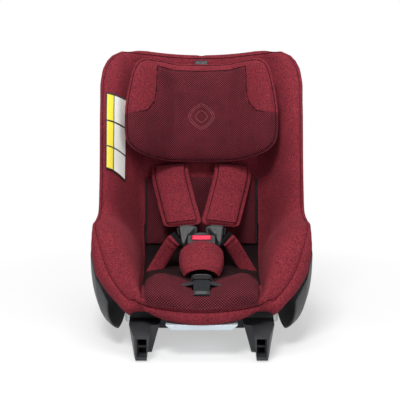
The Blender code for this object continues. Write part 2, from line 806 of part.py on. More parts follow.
def make_rear_gear():
    """Behind the shell: the yoke that joins the shoulder straps, its straps and the cover over them."""
    corners = ((-0.215, -0.026), (-0.185, -0.026), (-0.185, -0.023), (-0.215, -0.023))
    outline = [tuple(on_back(0, along, off).yz) for along, off in corners]
    prism_x("harness_yoke", outline, -0.032, 0.032, steel())
    for side, name in MIRROR_SIDES:
        path = [on_back(side * 0.016, along, -0.0245) for along in (-0.1265, -0.155, -0.1845)]
        ribbon("rear_strap_" + name, path, [(-0.011, 0.011)] * 3, 0.0016, OFF_BACK, webbing())
    path = [on_back(0, a, q) for a, q in ((-0.2155, -0.0245), (-0.240, -0.0245), (-0.262, -0.0235))]
    ribbon("rear_pull_strap", path, [(-0.015, 0.015)] * 3, 0.0016, OFF_BACK, webbing())
    outer, inner = [], []
    for s in (-0.285, -0.270, -0.24, -0.17, -0.08, 0.01, 0.064, 0.080):
        rim = smoothstep(min((s + 0.285) / 0.035, (0.080 - s) / 0.020))
        row, low = [], []
        for across in (-1, -0.88, -0.7, -0.35, 0, 0.35, 0.7, 0.88, 1):
            half = 0.080 - 0.018 * smoothstep((-0.2 - s) / 0.1)
            bulge = rim * smoothstep((1 - abs(across)) / 0.22)
            row.append(on_back(across * half, s, -0.0170 - 0.031 * bulge))
            low.append(on_back(across * half, s, -0.0138 - 0.031 * bulge))
        outer.append(row)
        inner.append(low)
    slab("rear_cover", inner, outer, plastic())


def make_label():
    """A blank sewn label on the right-hand wing as the child sits."""
    upper, lower = [], []
    for station in np.linspace(0.68, 0.895, 6):
        row, low = [], []
        for share in (0.745, 0.82, 0.895, 0.96):
            place = inner_point(share, station)
            ahead = inner_point(share, station + 0.01) - place
            aside = inner_point(share + 0.01, station) - place
            normal = np.cross(aside, ahead)
            normal /= np.linalg.norm(normal)
            flip = np.array([-1, 1, 1])
            row.append((place + normal * 0.0024) * flip)
            low.append((place + normal * 0.0012) * flip)
        upper.append(row)
        lower.append(low)
    slab("label_patch", upper, lower, material("label", LABEL, 0.6))


# ---- recline gear -------------------------------------------------------------------------------
def shell_floor(y):
    """Height just under the shell's floor at y, for what is fixed beneath it."""
    stations = np.linspace(0.05, 0.62, 40)
    below = []
    for station in stations:
        middle, normal = through(SPINE, station), spine_normal(station)
        below.append(middle - normal * SHELL_DEPTH)
    return float(np.interp(y, [p[0] for p in below], [p[1] for p in below])) - 0.0012


def make_recline_gear():
    tray = arc_points(0.5545, -0.075, 0.045, 7)
    tray += [(y, shell_floor(y)) for y in np.linspace(0.045, -0.075, 7)]
    prism_x("recline_carriage", tray, -0.0855, 0.0855, plastic())
    for side, name in MIRROR_SIDES:
        ends = sorted((side * 0.0862, side * 0.1040))
        stations = np.linspace(-0.150, 0.125, 14)
        bar = [(y, arc_height(RUNNER_RADIUS, y)) for y in stations]
        bar += [(y, min(arc_height(0.5465, y), shell_floor(y))) for y in stations[::-1]]
        prism_x("carriage_runner_" + name, bar, ends[0], ends[1], black_plastic())
    teeth = 7
    low, high = -0.132, 0.134
    pitch = (high - low) / (2 * teeth + 1)
    outline = [(low, 0.0488), (-0.108, 0.0488), (0.0, 0.0503), (high, 0.0503)]
    for k in range(2 * teeth + 1, -1, -1):
        y = low + k * pitch
        before, after = (0.570, 0.566) if k % 2 else (0.566, 0.570)
        if k < 2 * teeth + 1:
            outline.append((y, arc_height(before, y)))
        if k > 0:
            outline.append((y, arc_height(after, y)))
    prism_x("recline_rack", outline, -0.009, 0.009, steel())
    bolt = [(0.0458, 0.5500), (0.0558, 0.5500), (0.0558, 0.5652), (0.0458, 0.5652)]
    prism_x("recline_latch", [(y, arc_height(r, y)) for y, r in bolt], -0.014, 0.014, steel())
    plate = (
        (-0.246, 0.0545),
        (-0.150, 0.0580),
        (-0.150, 0.0610),
        (-0.234, 0.0600),
        (-0.238, 0.0640),
        (-0.2455, 0.0640),
    )
    loops = []
    for x, lift in ((-0.066, 0.006), (-0.050, 0.0), (0.0, -0.0015), (0.050, 0.0), (0.066, 0.006)):
        sweep = 0.02 * (x / 0.066) ** 2
        loop = [(x, y + sweep if y < -0.2 else y, z) for y, z in plate]
        loop[0] = (x, loop[0][1], loop[0][2] + lift)
        loops.append(loop)
    loft("recline_handle", loops, material("pale_grey_plastic", PALE_GREY, 0.4))


# ---- base ---------------------------------------------------------------------------------------
def leg_loop(y, inner, outer, top, draft=0.010, bottom=0.0023):
    """Trapezium section of a leg at y: inner and outer x at its top, narrower at the floor."""
    return [(outer - draft, y, bottom), (outer, y, top), (inner, y, top), (inner + 1.6 * draft, y, bottom)]


def make_legs():
    for side, name in MIRROR_SIDES:
        loops = [
            leg_loop(-0.2560, 0.0945, 0.1225, 0.047, 0.003, 0.0023),
            leg_loop(-0.2300, 0.0940, 0.1290, 0.051, 0.005),
            leg_loop(-0.2110, 0.0935, 0.1330, 0.054, 0.007),
            leg_loop(-0.2080, 0.0780, 0.1345, 0.055, 0.009),
            leg_loop(-0.1720, 0.0755, 0.1355, 0.057),
        ]
        for y in (-0.1640, -0.1, -0.04, 0.02, 0.08, 0.13, 0.165):
            loops.append(leg_loop(y, 0.0750, 0.1355, arc_height(CRADLE_RADIUS, y)))
        loops.append(leg_loop(0.174, 0.0750, 0.1355, 0.070))
        loops.append(leg_loop(BASE_REAR_Y, 0.0760, 0.1345, 0.062))
        loops = [[(side * x, y, z) for x, y, z in loop] for loop in loops]
        leg = loft("base_leg_" + name, loops, plastic())
        ends = sorted((side * 0.0992, side * 0.1172))
        mouth = ((ends[0], -0.30, 0.0085), (ends[1], -0.240, 0.0425))
        cut(leg, block("nose_mouth_tool_" + name, *mouth, plastic()))
        for level, (low, high) in enumerate(((0.0100, 0.0220), (0.0262, 0.0410))):
            inside = (ends[0] + 0.0015, ends[1] - 0.0015)
            pocket = ((inside[0], -0.245, low), (inside[1], -0.195, high))
            cut(leg, block(f"nose_pocket_tool_{name}_{level}", *pocket, plastic()))
        ends = sorted((side * 0.097, side * 0.121))
        grip = ((ends[0], -0.200, 0.0), (ends[1], 0.170, 0.0020))
        block("grip_strip_" + name, *grip, material("rubber", BLACK, 0.9))


def make_base():
    make_legs()
    block("base_plate", (-0.0872, -0.060, 0.0), (0.0872, 0.170, 0.0140), plastic())
    wall = [(-0.0872, 0.0143), (0.0872, 0.0143), (0.0800, 0.0450), (-0.0800, 0.0450)]
    prism_y("base_front_wall", wall, -0.060, -0.050, plastic())
    for name, low, high in (("front", -0.138, -0.108), ("rear", 0.118, 0.170)):
        outline = [(-0.0848, 0.0300), (0.0848, 0.0300), (0.0808, 0.0485), (-0.0808, 0.0485)]
        if name == "rear":
            outline = [(-0.0872, 0.0145), (0.0872, 0.0145), (0.0806, 0.0500), (-0.0806, 0.0500)]
        prism_y("base_bridge_" + name, outline, low, high, plastic())


def make_isofix():
    """Anchor arms that slide out behind, each with a connector, a hook and a release button."""
    for side, name in MIRROR_SIDES:
        xs = sorted((side * ARM_X[0], side * ARM_X[1]))
        block("anchor_arm_" + name, (xs[0], -0.110, ARM_Z[0]), (xs[1], 0.2000, ARM_Z[1]), steel())
        near, far = side * 0.1361, side * 0.1497
        wall = side * 0.1477
        low, high = ARM_Z[0] - 0.0024, ARM_Z[1] + 0.0024
        inner_low, inner_high = low + 0.0019, high - 0.0019
        channel = [(near, low), (far, low), (far, high), (near, high)]
        channel += [(near, inner_high), (wall, inner_high), (wall, inner_low), (near, inner_low)]
        prism_y("arm_guide_" + name, channel, -0.095, 0.125, steel())
        middle = side * (ARM_X[0] + ARM_X[1]) / 2
        ends = (middle - 0.0125, middle + 0.0125)
        body = prism_x("anchor_connector_" + name, CONNECTOR_OUTLINE, *ends, black_plastic())
        well = ((middle - 0.0085, 0.2085, 0.0540), (middle + 0.0085, 0.2315, 0.07))
        cut(body, block("button_well_tool_" + name, *well, plastic()))
        well = ((middle - 0.0045, 0.2480, 0.0260), (middle + 0.0045, 0.2800, 0.0580))
        cut(body, block("hook_well_tool_" + name, *well, plastic()))
        button = ((middle - 0.0080, 0.2090, 0.0595), (middle + 0.0080, 0.2310, 0.0655))
        block("anchor_button_" + name, *button, material("button_green", BUTTON_GREEN, 0.4))
        prism_x("anchor_hook_" + name, HOOK_OUTLINE, middle - 0.0035, middle + 0.0035, steel())


def main():
    clear_scene()
    make_cover()
    make_shell()
    make_wing_foam()
    make_side_trim()
    make_cushions()
    make_headrest()
    make_shoulder_gear()
    make_buckle()
    make_crotch_pad()
    make_lap_gear()
    make_adjuster()
    make_rear_gear()
    make_label()
    make_recline_gear()
    make_base()
    make_isofix()


main()
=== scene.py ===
"""Looks of the convertible child car seat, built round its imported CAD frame.

Metres, +Z up, the child faces -Y. The bucket, headrest and crotch strap are measured with nearly the
same driving tables as the CAD solids, so that each soft piece lies about where its solid does.
"""

import math

import bmesh
import bpy
import numpy as np
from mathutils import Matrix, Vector, noise


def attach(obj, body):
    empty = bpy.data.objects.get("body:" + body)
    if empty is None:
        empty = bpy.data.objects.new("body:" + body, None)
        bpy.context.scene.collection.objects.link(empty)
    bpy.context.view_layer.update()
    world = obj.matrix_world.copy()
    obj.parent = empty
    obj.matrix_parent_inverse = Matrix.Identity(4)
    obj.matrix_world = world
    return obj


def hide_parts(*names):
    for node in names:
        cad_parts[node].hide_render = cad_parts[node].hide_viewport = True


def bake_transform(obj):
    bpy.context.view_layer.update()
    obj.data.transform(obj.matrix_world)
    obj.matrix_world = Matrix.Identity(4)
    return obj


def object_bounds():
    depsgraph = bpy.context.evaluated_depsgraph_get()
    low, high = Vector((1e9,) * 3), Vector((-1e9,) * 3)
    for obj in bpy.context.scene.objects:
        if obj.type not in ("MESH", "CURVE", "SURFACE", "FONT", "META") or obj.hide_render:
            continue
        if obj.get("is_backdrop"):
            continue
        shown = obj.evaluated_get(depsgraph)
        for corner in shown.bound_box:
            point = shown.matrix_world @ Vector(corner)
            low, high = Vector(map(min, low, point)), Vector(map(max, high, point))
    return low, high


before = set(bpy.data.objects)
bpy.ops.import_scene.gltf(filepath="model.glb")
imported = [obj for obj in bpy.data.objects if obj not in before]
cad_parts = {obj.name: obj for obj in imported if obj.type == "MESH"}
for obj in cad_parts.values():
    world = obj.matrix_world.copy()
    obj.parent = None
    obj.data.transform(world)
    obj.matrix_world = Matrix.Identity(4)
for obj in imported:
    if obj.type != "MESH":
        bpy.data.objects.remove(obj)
CAD_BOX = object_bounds()
SIDES = ((1, "right"), (-1, "left"))

# ---- the bucket's driving tables, as in the CAD --------------------------------------------------
PIVOT_Y = -0.010
PIVOT_Z = 0.630
SKIRT_RADIUS = 0.612

# The bucket's inner face: station, then y and z of its middle line, from the front lip to the top.
SPINE = (
    (0.00, -0.246, 0.090),
    (0.06, -0.232, 0.1045),
    (0.12, -0.201, 0.1075),
    (0.25, -0.115, 0.1035),
    (0.38, -0.020, 0.0985),
    (0.45, 0.032, 0.101),
    (0.52, 0.076, 0.122),
    (0.60, 0.103, 0.175),
    (0.70, 0.124, 0.250),
    (0.80, 0.150, 0.335),
    (0.90, 0.176, 0.425),
    (0.96, 0.193, 0.486),
    (1.00, 0.204, 0.531),
)
# The bucket's rim on the right: station, x, y and z, from the front corner to the top corner, which
# is a little rounder than the CAD's.
RIM = (
    (0.00, 0.134, -0.208, 0.102),
    (0.06, 0.156, -0.187, 0.120),
    (0.12, 0.177, -0.163, 0.147),
    (0.20, 0.193, -0.135, 0.183),
    (0.30, 0.2035, -0.104, 0.209),
    (0.38, 0.2075, -0.070, 0.2185),
    (0.46, 0.2065, -0.032, 0.219),
    (0.53, 0.2035, 0.000, 0.231),
    (0.60, 0.2025, 0.011, 0.268),
    (0.70, 0.2025, 0.030, 0.329),
    (0.80, 0.2030, 0.050, 0.394),
    (0.88, 0.2045, 0.080, 0.450),
    (0.94, 0.2045, 0.112, 0.494),
    (0.975, 0.1970, 0.1410, 0.5240),
    (0.989, 0.1875, 0.1560, 0.5370),
    (1.00, 0.171, 0.1675, 0.5450),
)
# Radius of the rolled edge, by station.
ROLL = (
    (0, 0.016),
    (0.06, 0.021),
    (0.12, 0.0235),
    (0.2, 0.018),
    (0.27, 0.0105),
    (0.34, 0.0065),
    (0.9, 0.0058),
    (1, 0.0085),
)
FLOOR_HALF_WIDTH = ((0.0, 0.108), (0.15, 0.114), (0.45, 0.120), (0.6, 0.123), (1.0, 0.118))
FLOOR_SHARE = 0.45
SHELL_THICKNESS = 0.0045
SHELL_DEPTH = 0.0125
SHELL_FRONT = 0.135
CUSHION_GAP = 0.0028

# The slot in the back, as (along, off) corners; the strap holes, as low and high (y, z) and half width.
CARRIER_SLOT = ((-0.117, -0.04), (-0.117, 0.03), (0.074, 0.03), (0.074, -0.04))
CARRIER_SLOT_HALF = 0.034
STRAP_HOLES = (((-0.104, 0.06), (-0.094, 0.15), 0.022), ((-0.196, 0.07), (-0.186, 0.16), 0.018))

# Side panels, by y: height of the top edge, half width at the top and at the skirt's edge.
TRIM_TOP = (
    (-0.178, 0.088),
    (-0.14, 0.128),
    (-0.10, 0.164),
    (-0.05, 0.178),
    (0.05, 0.180),
    (0.10, 0.168),
    (0.13, 0.135),
)
TRIM_WIDEST = (
    (-0.178, 0.1745),
    (-0.14, 0.1995),
    (-0.10, 0.2125),
    (-0.05, 0.2155),
    (0.05, 0.2155),
    (0.13, 0.204),
)
TRIM_FOOT = ((-0.178, 0.1565), (-0.12, 0.1575), (0.08, 0.1575), (0.13, 0.155))

# The back leans by this angle; the headrest slides along it.
BACK_TILT = math.radians(16.4)
ALONG_BACK = Vector((0.0, math.sin(BACK_TILT), math.cos(BACK_TILT)))
OFF_BACK = Vector((0.0, -math.cos(BACK_TILT), math.sin(BACK_TILT)))
HEAD_ORIGIN = Vector((0.0, 0.179, 0.430))
HEAD_HALF_WIDTH = 0.160
HEAD_TOP = 0.089
HEAD_BOTTOM = -0.131

BUCKLE_TOP = Vector((0.0, 0.004, 0.172))
CROTCH_RUN = Vector((0.0, -0.89, -0.456)).normalized()
CROTCH_UP = Vector((0.0, -0.456, 0.89)).normalized()


# ---- curves and surfaces shared with the CAD -----------------------------------------------------
def through(table, at):
    """A smooth curve through a table's rows, each a parameter and then values, read at a parameter."""
    keys = [row[0] for row in table]
    values = np.array([row[1:] for row in table], float)
    slopes = np.gradient(values, keys, axis=0)
    k = min(max(int(np.searchsorted(keys, at)) - 1, 0), len(keys) - 2)
    span = keys[k + 1] - keys[k]
    t = (at - keys[k]) / span
    ease = 3 * t**2 - 2 * t**3
    enter = t**3 - 2 * t**2 + t
    leave = t**3 - t**2
    base = values[k] * (1 - ease) + values[k + 1] * ease
    return base + span * (slopes[k] * enter + slopes[k + 1] * leave)


def straight(table, at):
    return float(np.interp(at, [row[0] for row in table], [row[1] for row in table]))


def smoothstep(t):
    t = min(max(t, 0.0), 1.0)
    return t * t * (3 - 2 * t)


def bell(distance, width):
    return math.exp(-((distance / width) ** 2))


def arc_height(radius, y):
    """Height at y of the lower side of the circle of that radius about the recline pivot."""
    return PIVOT_Z - math.sqrt(radius**2 - (y - PIVOT_Y) ** 2)


def on_back(x, along, off):
    """A point given across, up along the back and off its face."""
    return HEAD_ORIGIN + Vector((x, 0, 0)) + ALONG_BACK * along + OFF_BACK * off


def on_crotch(x, along, off):
    """A point given across, down along the crotch strap from the buckle's top, and off its face."""
    return BUCKLE_TOP + Vector((x, 0, 0)) + CROTCH_RUN * along + CROTCH_UP * off


def spine_normal(station):
    low, high = max(station - 0.01, 0), min(station + 0.01, 1)
    run = through(SPINE, high) - through(SPINE, low)
    normal = np.array([-run[1], run[0]])
    return normal / np.linalg.norm(normal)


def cubic(a, b, c, d, t):
    return a * (1 - t) ** 3 + 3 * b * t * (1 - t) ** 2 + 3 * c * t**2 * (1 - t) + d * t**3


def floor_point(across, station):
    """Inner face on the bucket's floor or back; across runs from 0 in the middle to 1 at the wall."""
    middle = through(SPINE, station)
    half = straight(FLOOR_HALF_WIDTH, station)
    lip = 0.022 * max(0.0, 1 - station / 0.10)
    back = 0.004 * smoothstep((station - 0.5) / 0.2)
    top = smoothstep((station - 0.9) / 0.1)
    sweep = (lip - back - 0.006 * top) * across**2
    rise = (0.006 * max(0.0, 1 - station / 0.10) + 0.009 * top) * across**2
    return np.array([half * across, middle[0] + sweep, middle[1] + rise])


def inner_point(share, station):
    """The bucket's inner face; share runs from 0 in the middle to 1 at the right rim."""
    if share <= FLOOR_SHARE:
        return floor_point(share / FLOOR_SHARE, station)
    t = (share - FLOOR_SHARE) / (1 - FLOOR_SHARE)
    foot = floor_point(1.0, station)
    rim = np.array(through(RIM, station))
    span = rim - foot
    across = np.array([span[0], 0, 0])
    rise = span - across
    steep = 1 - smoothstep((station - 0.42) / 0.16)
    first = foot + across * (0.32 - 0.20 * steep) + rise * (0.16 + 0.34 * steep)
    last = rim - across * (0.42 + 0.13 * steep)
    return cubic(foot, first, last, rim, t)


def rim_normal(station):
    """Direction out of the rolled edge's crown, square to the rim."""
    low, high = max(station - 0.015, 0), min(station + 0.015, 1)
    run = through(RIM, high) - through(RIM, low)
    normal = np.array([0, -run[2], run[1]])
    return normal / np.linalg.norm(normal)


def outer_point(share, station):
    """The shell's outer face, under the floor and up the outside of the walls."""
    normal = spine_normal(station)
    front = smoothstep((0.20 - station) / 0.10)
    roll = straight(ROLL, station)
    off = np.array([0.17 * front * share, normal[0], normal[1]]) * (SHELL_DEPTH - 0.0032 * front)
    if share <= FLOOR_SHARE:
        return floor_point(share / FLOOR_SHARE, station) - off
    t = (share - FLOOR_SHARE) / (1 - FLOOR_SHARE)
    foot = floor_point(1.0, station) - off
    crown = rim_normal(station)
    rim = np.array(through(RIM, station)) - crown * (roll + 0.006 * (1 - front))
    rim[0] -= 0.001 + 0.015 * front
    span = rim - foot
    across = np.array([span[0], 0, 0])
    first = foot + across * 0.62 + (span - across) * 0.02
    last = rim - crown * 0.5 * abs(np.dot(span, crown))
    return cubic(foot, first, last, rim, t)


def mirrored_grid(point, shares, stations):
    """Rows of points from the left rim to the right rim, at each station."""
    grid = []
    for station in stations:
        right = [point(share, station) for share in shares]
        left = [p * np.array([-1, 1, 1]) for p in reversed(right[1:])]
        grid.append(left + right)
    return np.array(grid)


def grid_normals(grid):
    normals = np.cross(np.gradient(grid, axis=1), np.gradient(grid, axis=0))
    return normals / np.linalg.norm(normals, axis=2, keepdims=True)


def boundary(rows, columns):
    """The (row, column) places round a grid's edge, in order."""
    front = [(0, c) for c in range(columns)]
    right = [(r, columns - 1) for r in range(1, rows)]
    top = [(rows - 1, c) for c in range(columns - 2, -1, -1)]
    left = [(r, 0) for r in range(rows - 2, 0, -1)]
    return front + right + top + left


def lengths_along(grid, axis):
    """For each point of a grid, the length along one axis from the grid's first row or column."""
    steps = np.linalg.norm(np.diff(grid, axis=axis), axis=2)
    start = np.zeros_like(np.take(steps, [0], axis=axis))
    return np.cumsum(np.concatenate([start, steps], axis=axis), axis=axis)


def grid_uvs(grid):
    """Lengths across, from the middle column, and along a grid: the weave's own coordinates."""
    across = lengths_along(grid, 1)
    across -= across[:, grid.shape[1] // 2][:, None]
    return np.stack([across, lengths_along(grid, 0)], axis=2)


# ---- node trees ----------------------------------------------------------------------------------
class Finish:
    """A Principled material, and short calls that add nodes to it."""

    def __init__(self, name, roughness, **sockets):
        self.made = bpy.data.materials.new(name)
        self.made.use_nodes = True
        self.tree = self.made.node_tree
        self.shader = self.tree.nodes["Principled BSDF"]
        self.shader.inputs["Roughness"].default_value = roughness
        for socket, value in sockets.items():
            self.shader.inputs[socket.replace("_", " ")].default_value = value
        self.place = self.tree.nodes.new("ShaderNodeTexCoord").outputs["Object"]

    def node(self, kind, inputs, **settings):
        """Adds a node; each input is another node's output or a constant."""
        made = self.tree.nodes.new("ShaderNode" + kind)
        for setting, value in settings.items():
            setattr(made, setting, value)
        for key, value in inputs.items():
            if isinstance(value, bpy.types.NodeSocket):
                self.tree.links.new(value, made.inputs[key])
            else:
                made.inputs[key].default_value = value
        return made

    def noise(self, size, detail=2.0, place=None, roughness=0.55):
        """Noise whose spots are about that size, in metres."""
        inputs = {"Vector": place or self.place, "Scale": 1 / size, "Detail": detail, "Roughness": roughness}
        return self.node("TexNoise", inputs).outputs["Fac"]

    def stretched(self, scale):
        return self.node("Mapping", {"Vector": self.place, "Scale": scale}).outputs["Vector"]

    def ramp(self, value, low, high, start=0.0, end=1.0):
        inputs = {"Value": value, "From Min": low, "From Max": high, "To Min": start, "To Max": end}
        return self.node("MapRange", inputs).outputs["Result"]

    def math(self, operation, first, second=0.0):
        return self.node("Math", {0: first, 1: second}, operation=operation).outputs[0]

    def mix(self, share, first, second):
        return self.node("Mix", {0: share, 6: first, 7: second}, data_type="RGBA").outputs[2]

    def turned(self, vector, degrees):
        inputs = {"Vector": vector, "Rotation": (0, 0, math.radians(degrees))}
        return self.node("Mapping", inputs).outputs["Vector"]

    def colour(self, value):
        self.tree.links.new(value, self.shader.inputs["Base Color"])

    def roughness(self, value):
        self.tree.links.new(value, self.shader.inputs["Roughness"])

    def bump(self, *layers):
        """Bump from layers of (height, depth in metres), the last on top."""
        normal = None
        for height, depth in layers:
            inputs = {"Height": height, "Distance": depth, "Strength": 1.0}
            if normal is not None:
                inputs["Normal"] = normal
            normal = self.node("Bump", inputs).outputs["Normal"]
        self.tree.links.new(normal, self.shader.inputs["Normal"])


def rgb(red, green, blue):
    """A colour for a socket, from its linear channels."""
    return (red, green, blue, 1.0)


def scaled(colour, factor):
    """A colour made brighter or darker."""
    return rgb(*[channel * factor for channel in colour[:3]])


MELANGE_LIGHT = rgb(0.330, 0.034, 0.050)
MELANGE_DARK = rgb(0.052, 0.007, 0.012)
MESH_LIGHT = rgb(0.290, 0.030, 0.052)
MESH_DARK = rgb(0.0040, 0.0006, 0.0012)
SHEEN_TINT = rgb(0.85, 0.25, 0.30)
# Near-black red of the seam lines: partly thread, partly the painted shade of the seam grooves.
SEAM_SHADE = (0.016, 0.0022, 0.0040)


def melange_fabric(name="melange_fabric", painted_light_scale=1.0):
    """Heather knit: short flecks of dark and bright red yarn over a fine weave."""
    finish = Finish(name, 0.88, Sheen_Weight=0.05, Sheen_Tint=SHEEN_TINT, Specular_IOR_Level=0.12)
    flecks = finish.noise(0.0030, 4.0, finish.stretched((1.0, 1.0, 2.2)), 0.75)
    threads = finish.noise(0.0013, 1.0)
    patches = finish.noise(0.055, 2.0)
    share = finish.ramp(flecks, 0.36, 0.60)
    share = finish.math("MULTIPLY", share, finish.ramp(threads, 0.30, 0.62, 0.45, 1.0))
    # The scale darkens both yarn colours: a painted shade for darker copies of the same fabric.
    light = scaled(MELANGE_LIGHT, painted_light_scale)
    dark = scaled(MELANGE_DARK, painted_light_scale)
    mixed = finish.mix(share, dark, light)
    finish.colour(finish.mix(finish.ramp(patches, 0.3, 0.7, 0.0, 0.22), mixed, dark))
    finish.roughness(finish.ramp(threads, 0.3, 0.7, 0.80, 0.96))
    knit = finish.node("TexVoronoi", {"Vector": finish.place, "Scale": 1 / 0.0011}).outputs["Distance"]
    finish.bump((patches, 0.0012), (flecks, 0.0005), (knit, 0.00035))
    return finish.made


def spacer_mesh(name, pitch, open_share, painted_light_level=1.0):
    """Knitted spacer mesh: a staggered lattice of round holes over a darker backing. Its yarn colour is
    scaled by its last number, a painted shade that makes darker copies for pieces lying deeper in shade.
    """
    finish = Finish(name, 0.82, Sheen_Weight=0.05, Sheen_Tint=SHEEN_TINT, Specular_IOR_Level=0.16)
    uv = finish.node("UVMap", {}, uv_map="weave").outputs["UV"]
    cells = {"Vector": finish.turned(uv, 45), "Scale": math.sqrt(2) / pitch, "Randomness": 0.06}
    spot = finish.node("TexVoronoi", cells, voronoi_dimensions="2D").outputs["Distance"]
    wear = finish.noise(0.03, 2.0)
    yarn = finish.noise(0.0012, 2.0)
    solid = finish.ramp(spot, open_share - 0.07, open_share + 0.09)
    light = scaled(MESH_LIGHT, painted_light_level)
    thread = finish.mix(finish.ramp(yarn, 0.25, 0.75), scaled(light, 0.62), light)
    thread = finish.mix(finish.ramp(wear, 0.35, 0.75, 0.0, 0.25), thread, MESH_DARK)
    finish.colour(finish.mix(solid, MESH_DARK, thread))
    finish.roughness(finish.ramp(yarn, 0.3, 0.7, 0.72, 0.92))
    finish.bump((wear, 0.0008), (solid, 0.0009), (yarn, 0.0002))
    return finish.made


def moulded(name, base, edge, roughness, grain=0.00012):
    """Moulded plastic: fine spark-eroded grain, faint flow marks and handling shine."""
    finish = Finish(name, roughness, Specular_IOR_Level=0.35)
    grains = finish.noise(0.0009, 3.0)
    flow = finish.noise(0.045, 3.0)
    scuffs = finish.noise(0.006, 4.0, finish.stretched((1.0, 0.35, 1.0)), 0.7)
    finish.colour(finish.mix(finish.ramp(flow, 0.3, 0.7), base, edge))
    shine = finish.ramp(grains, 0.3, 0.7, roughness - 0.06, roughness + 0.06)
    finish.roughness(finish.math("ADD", shine, finish.ramp(scuffs, 0.55, 0.8, 0.0, 0.12)))
    finish.bump((flow, 0.0004), (grains, grain))
    return finish.made


def webbing_weave(name="webbing", base=(0.006, 0.0065, 0.008), light=(0.020, 0.022, 0.028)):
    """Herringbone polyester webbing with fine lengthwise ribs, and a painted sheen: its twill ridges are
    painted lighter, less so where dust noise is low.
    """
    finish = Finish(name, 0.5, Specular_IOR_Level=0.3)
    uv = finish.node("UVMap", {}, uv_map="weave").outputs["UV"]
    diagonal = {"Vector": finish.turned(uv, 38), "Scale": 1 / 0.0030, "Distortion": 0.3}
    twill = finish.node("TexWave", diagonal).outputs["Fac"]
    ribs = finish.node("TexWave", {"Vector": uv, "Scale": 1 / 0.0075, "Distortion": 0.2}).outputs["Fac"]
    dust = finish.noise(0.004, 3.0)
    # Painted sheen: the twill's ridges take the lighter colour.
    share = finish.math("MULTIPLY", twill, 0.7)
    share = finish.math("MULTIPLY", share, finish.ramp(dust, 0.3, 0.7, 0.5, 1.0))
    finish.colour(finish.mix(share, rgb(*base), rgb(*light)))
    finish.roughness(finish.ramp(dust, 0.3, 0.7, 0.48, 0.72))
    finish.bump((ribs, 0.0003), (twill, 0.00025))
    return finish.made


def brushed_steel():
    finish = Finish("steel", 0.32, Metallic=1.0)
    streaks = finish.noise(0.0016, 3.0, finish.stretched((0.12, 1.0, 1.0)), 0.6)
    haze = finish.noise(0.02, 2.0)
    finish.colour(finish.mix(finish.ramp(haze, 0.3, 0.7), rgb(0.40, 0.41, 0.43), rgb(0.56, 0.57, 0.59)))
    finish.roughness(finish.ramp(streaks, 0.3, 0.7, 0.22, 0.42))
    finish.bump((streaks, 0.00006))
    return finish.made


def soft_foam():
    finish = Finish("foam", 0.95)
    cells = finish.node("TexVoronoi", {"Vector": finish.place, "Scale": 1 / 0.0024}).outputs["Distance"]
    finish.colour(finish.mix(finish.ramp(cells, 0.1, 0.6), rgb(0.52, 0.52, 0.51), rgb(0.74, 0.74, 0.73)))
    finish.bump((cells, 0.0006))
    return finish.made


def printed_film(name, base):
    """Satin printed film on a woven backing."""
    finish = Finish(name, 0.42, Coat_Weight=0.25, Coat_Roughness=0.3)
    backing = finish.noise(0.0012, 2.0)
    creases = finish.noise(0.018, 3.0)
    finish.colour(finish.mix(finish.ramp(creases, 0.35, 0.8, 0.0, 0.6), rgb(*base), scaled(base, 0.86)))
    finish.roughness(finish.ramp(creases, 0.3, 0.7, 0.36, 0.52))
    finish.bump((creases, 0.0006), (backing, 0.00008))
    return finish.made


def sewn_thread(name, base):
    """Twisted sewing yarn."""
    finish = Finish(name, 0.8, Specular_IOR_Level=0.08)
    twist = finish.noise(0.0008, 1.0)
    finish.colour(finish.mix(finish.ramp(twist, 0.3, 0.7), scaled(base, 0.6), rgb(*base)))
    finish.bump((twist, 0.0002))
    return finish.made


MELANGE = melange_fabric()
# The pads' melange is painted 2% darker than the cover's: a painted shade.
PAD_MELANGE = melange_fabric("pad_melange", 0.98)
# The last number of each spacer mesh is painted shade: the yarn colour is darkened for pieces that lie
# deeper in shade.
CUSHION_MESH = spacer_mesh("cushion_mesh", 0.0054, 0.42, 0.92)
# Near-black copy of the spacer mesh: painted shade, put where the seat lies in deep shade, behind the thigh
# lobes and on the cover's floor.
PAINTED_SHADE_MESH = spacer_mesh("painted_shade_spacer", 0.0046, 0.40, 0.02)
HEAD_MESH = spacer_mesh("head_mesh", 0.0047, 0.38, 0.82)
BACK_MESH = spacer_mesh("back_mesh", 0.0046, 0.38, 0.62)
CHARCOAL = moulded("charcoal_plastic", rgb(0.024, 0.025, 0.028), rgb(0.034, 0.035, 0.039), 0.48)
BLACK = moulded("black_plastic", rgb(0.009, 0.009, 0.010), rgb(0.017, 0.017, 0.019), 0.38)
GLOSS_BLACK = moulded("gloss_black_plastic", rgb(0.005, 0.005, 0.006), rgb(0.008, 0.008, 0.010), 0.44)
PALE = moulded("pale_grey_plastic", rgb(0.47, 0.53, 0.58), rgb(0.52, 0.58, 0.63), 0.34, 0.00005)
BUTTON_RED = moulded("button_red", rgb(0.62, 0.006, 0.045), rgb(0.72, 0.010, 0.060), 0.32, 0.00005)
BUTTON_GREEN = moulded("button_green", rgb(0.03, 0.30, 0.07), rgb(0.04, 0.36, 0.09), 0.34, 0.00005)
RUBBER = moulded("rubber", rgb(0.012, 0.012, 0.012), rgb(0.022, 0.022, 0.022), 0.72, 0.0003)
WEBBING = webbing_weave()
PIPING = webbing_weave("piping", (0.004, 0.004, 0.005), (0.010, 0.010, 0.012))
STEEL = brushed_steel()
FOAM = soft_foam()
# Seam line thread, coloured near black: partly thread, partly painted shade of the seam grooves.
SEAM_THREAD_AND_SHADE = sewn_thread("seam_thread_with_painted_shade", SEAM_SHADE)
PINK_THREAD = sewn_thread("pink_thread", (0.52, 0.17, 0.19))
LABEL_WHITE = printed_film("label_white", (0.80, 0.80, 0.76))
LABEL_YELLOW = printed_film("label_yellow", (0.80, 0.66, 0.05))
LABEL_EDGE = printed_film("label_edge", (0.03, 0.03, 0.03))


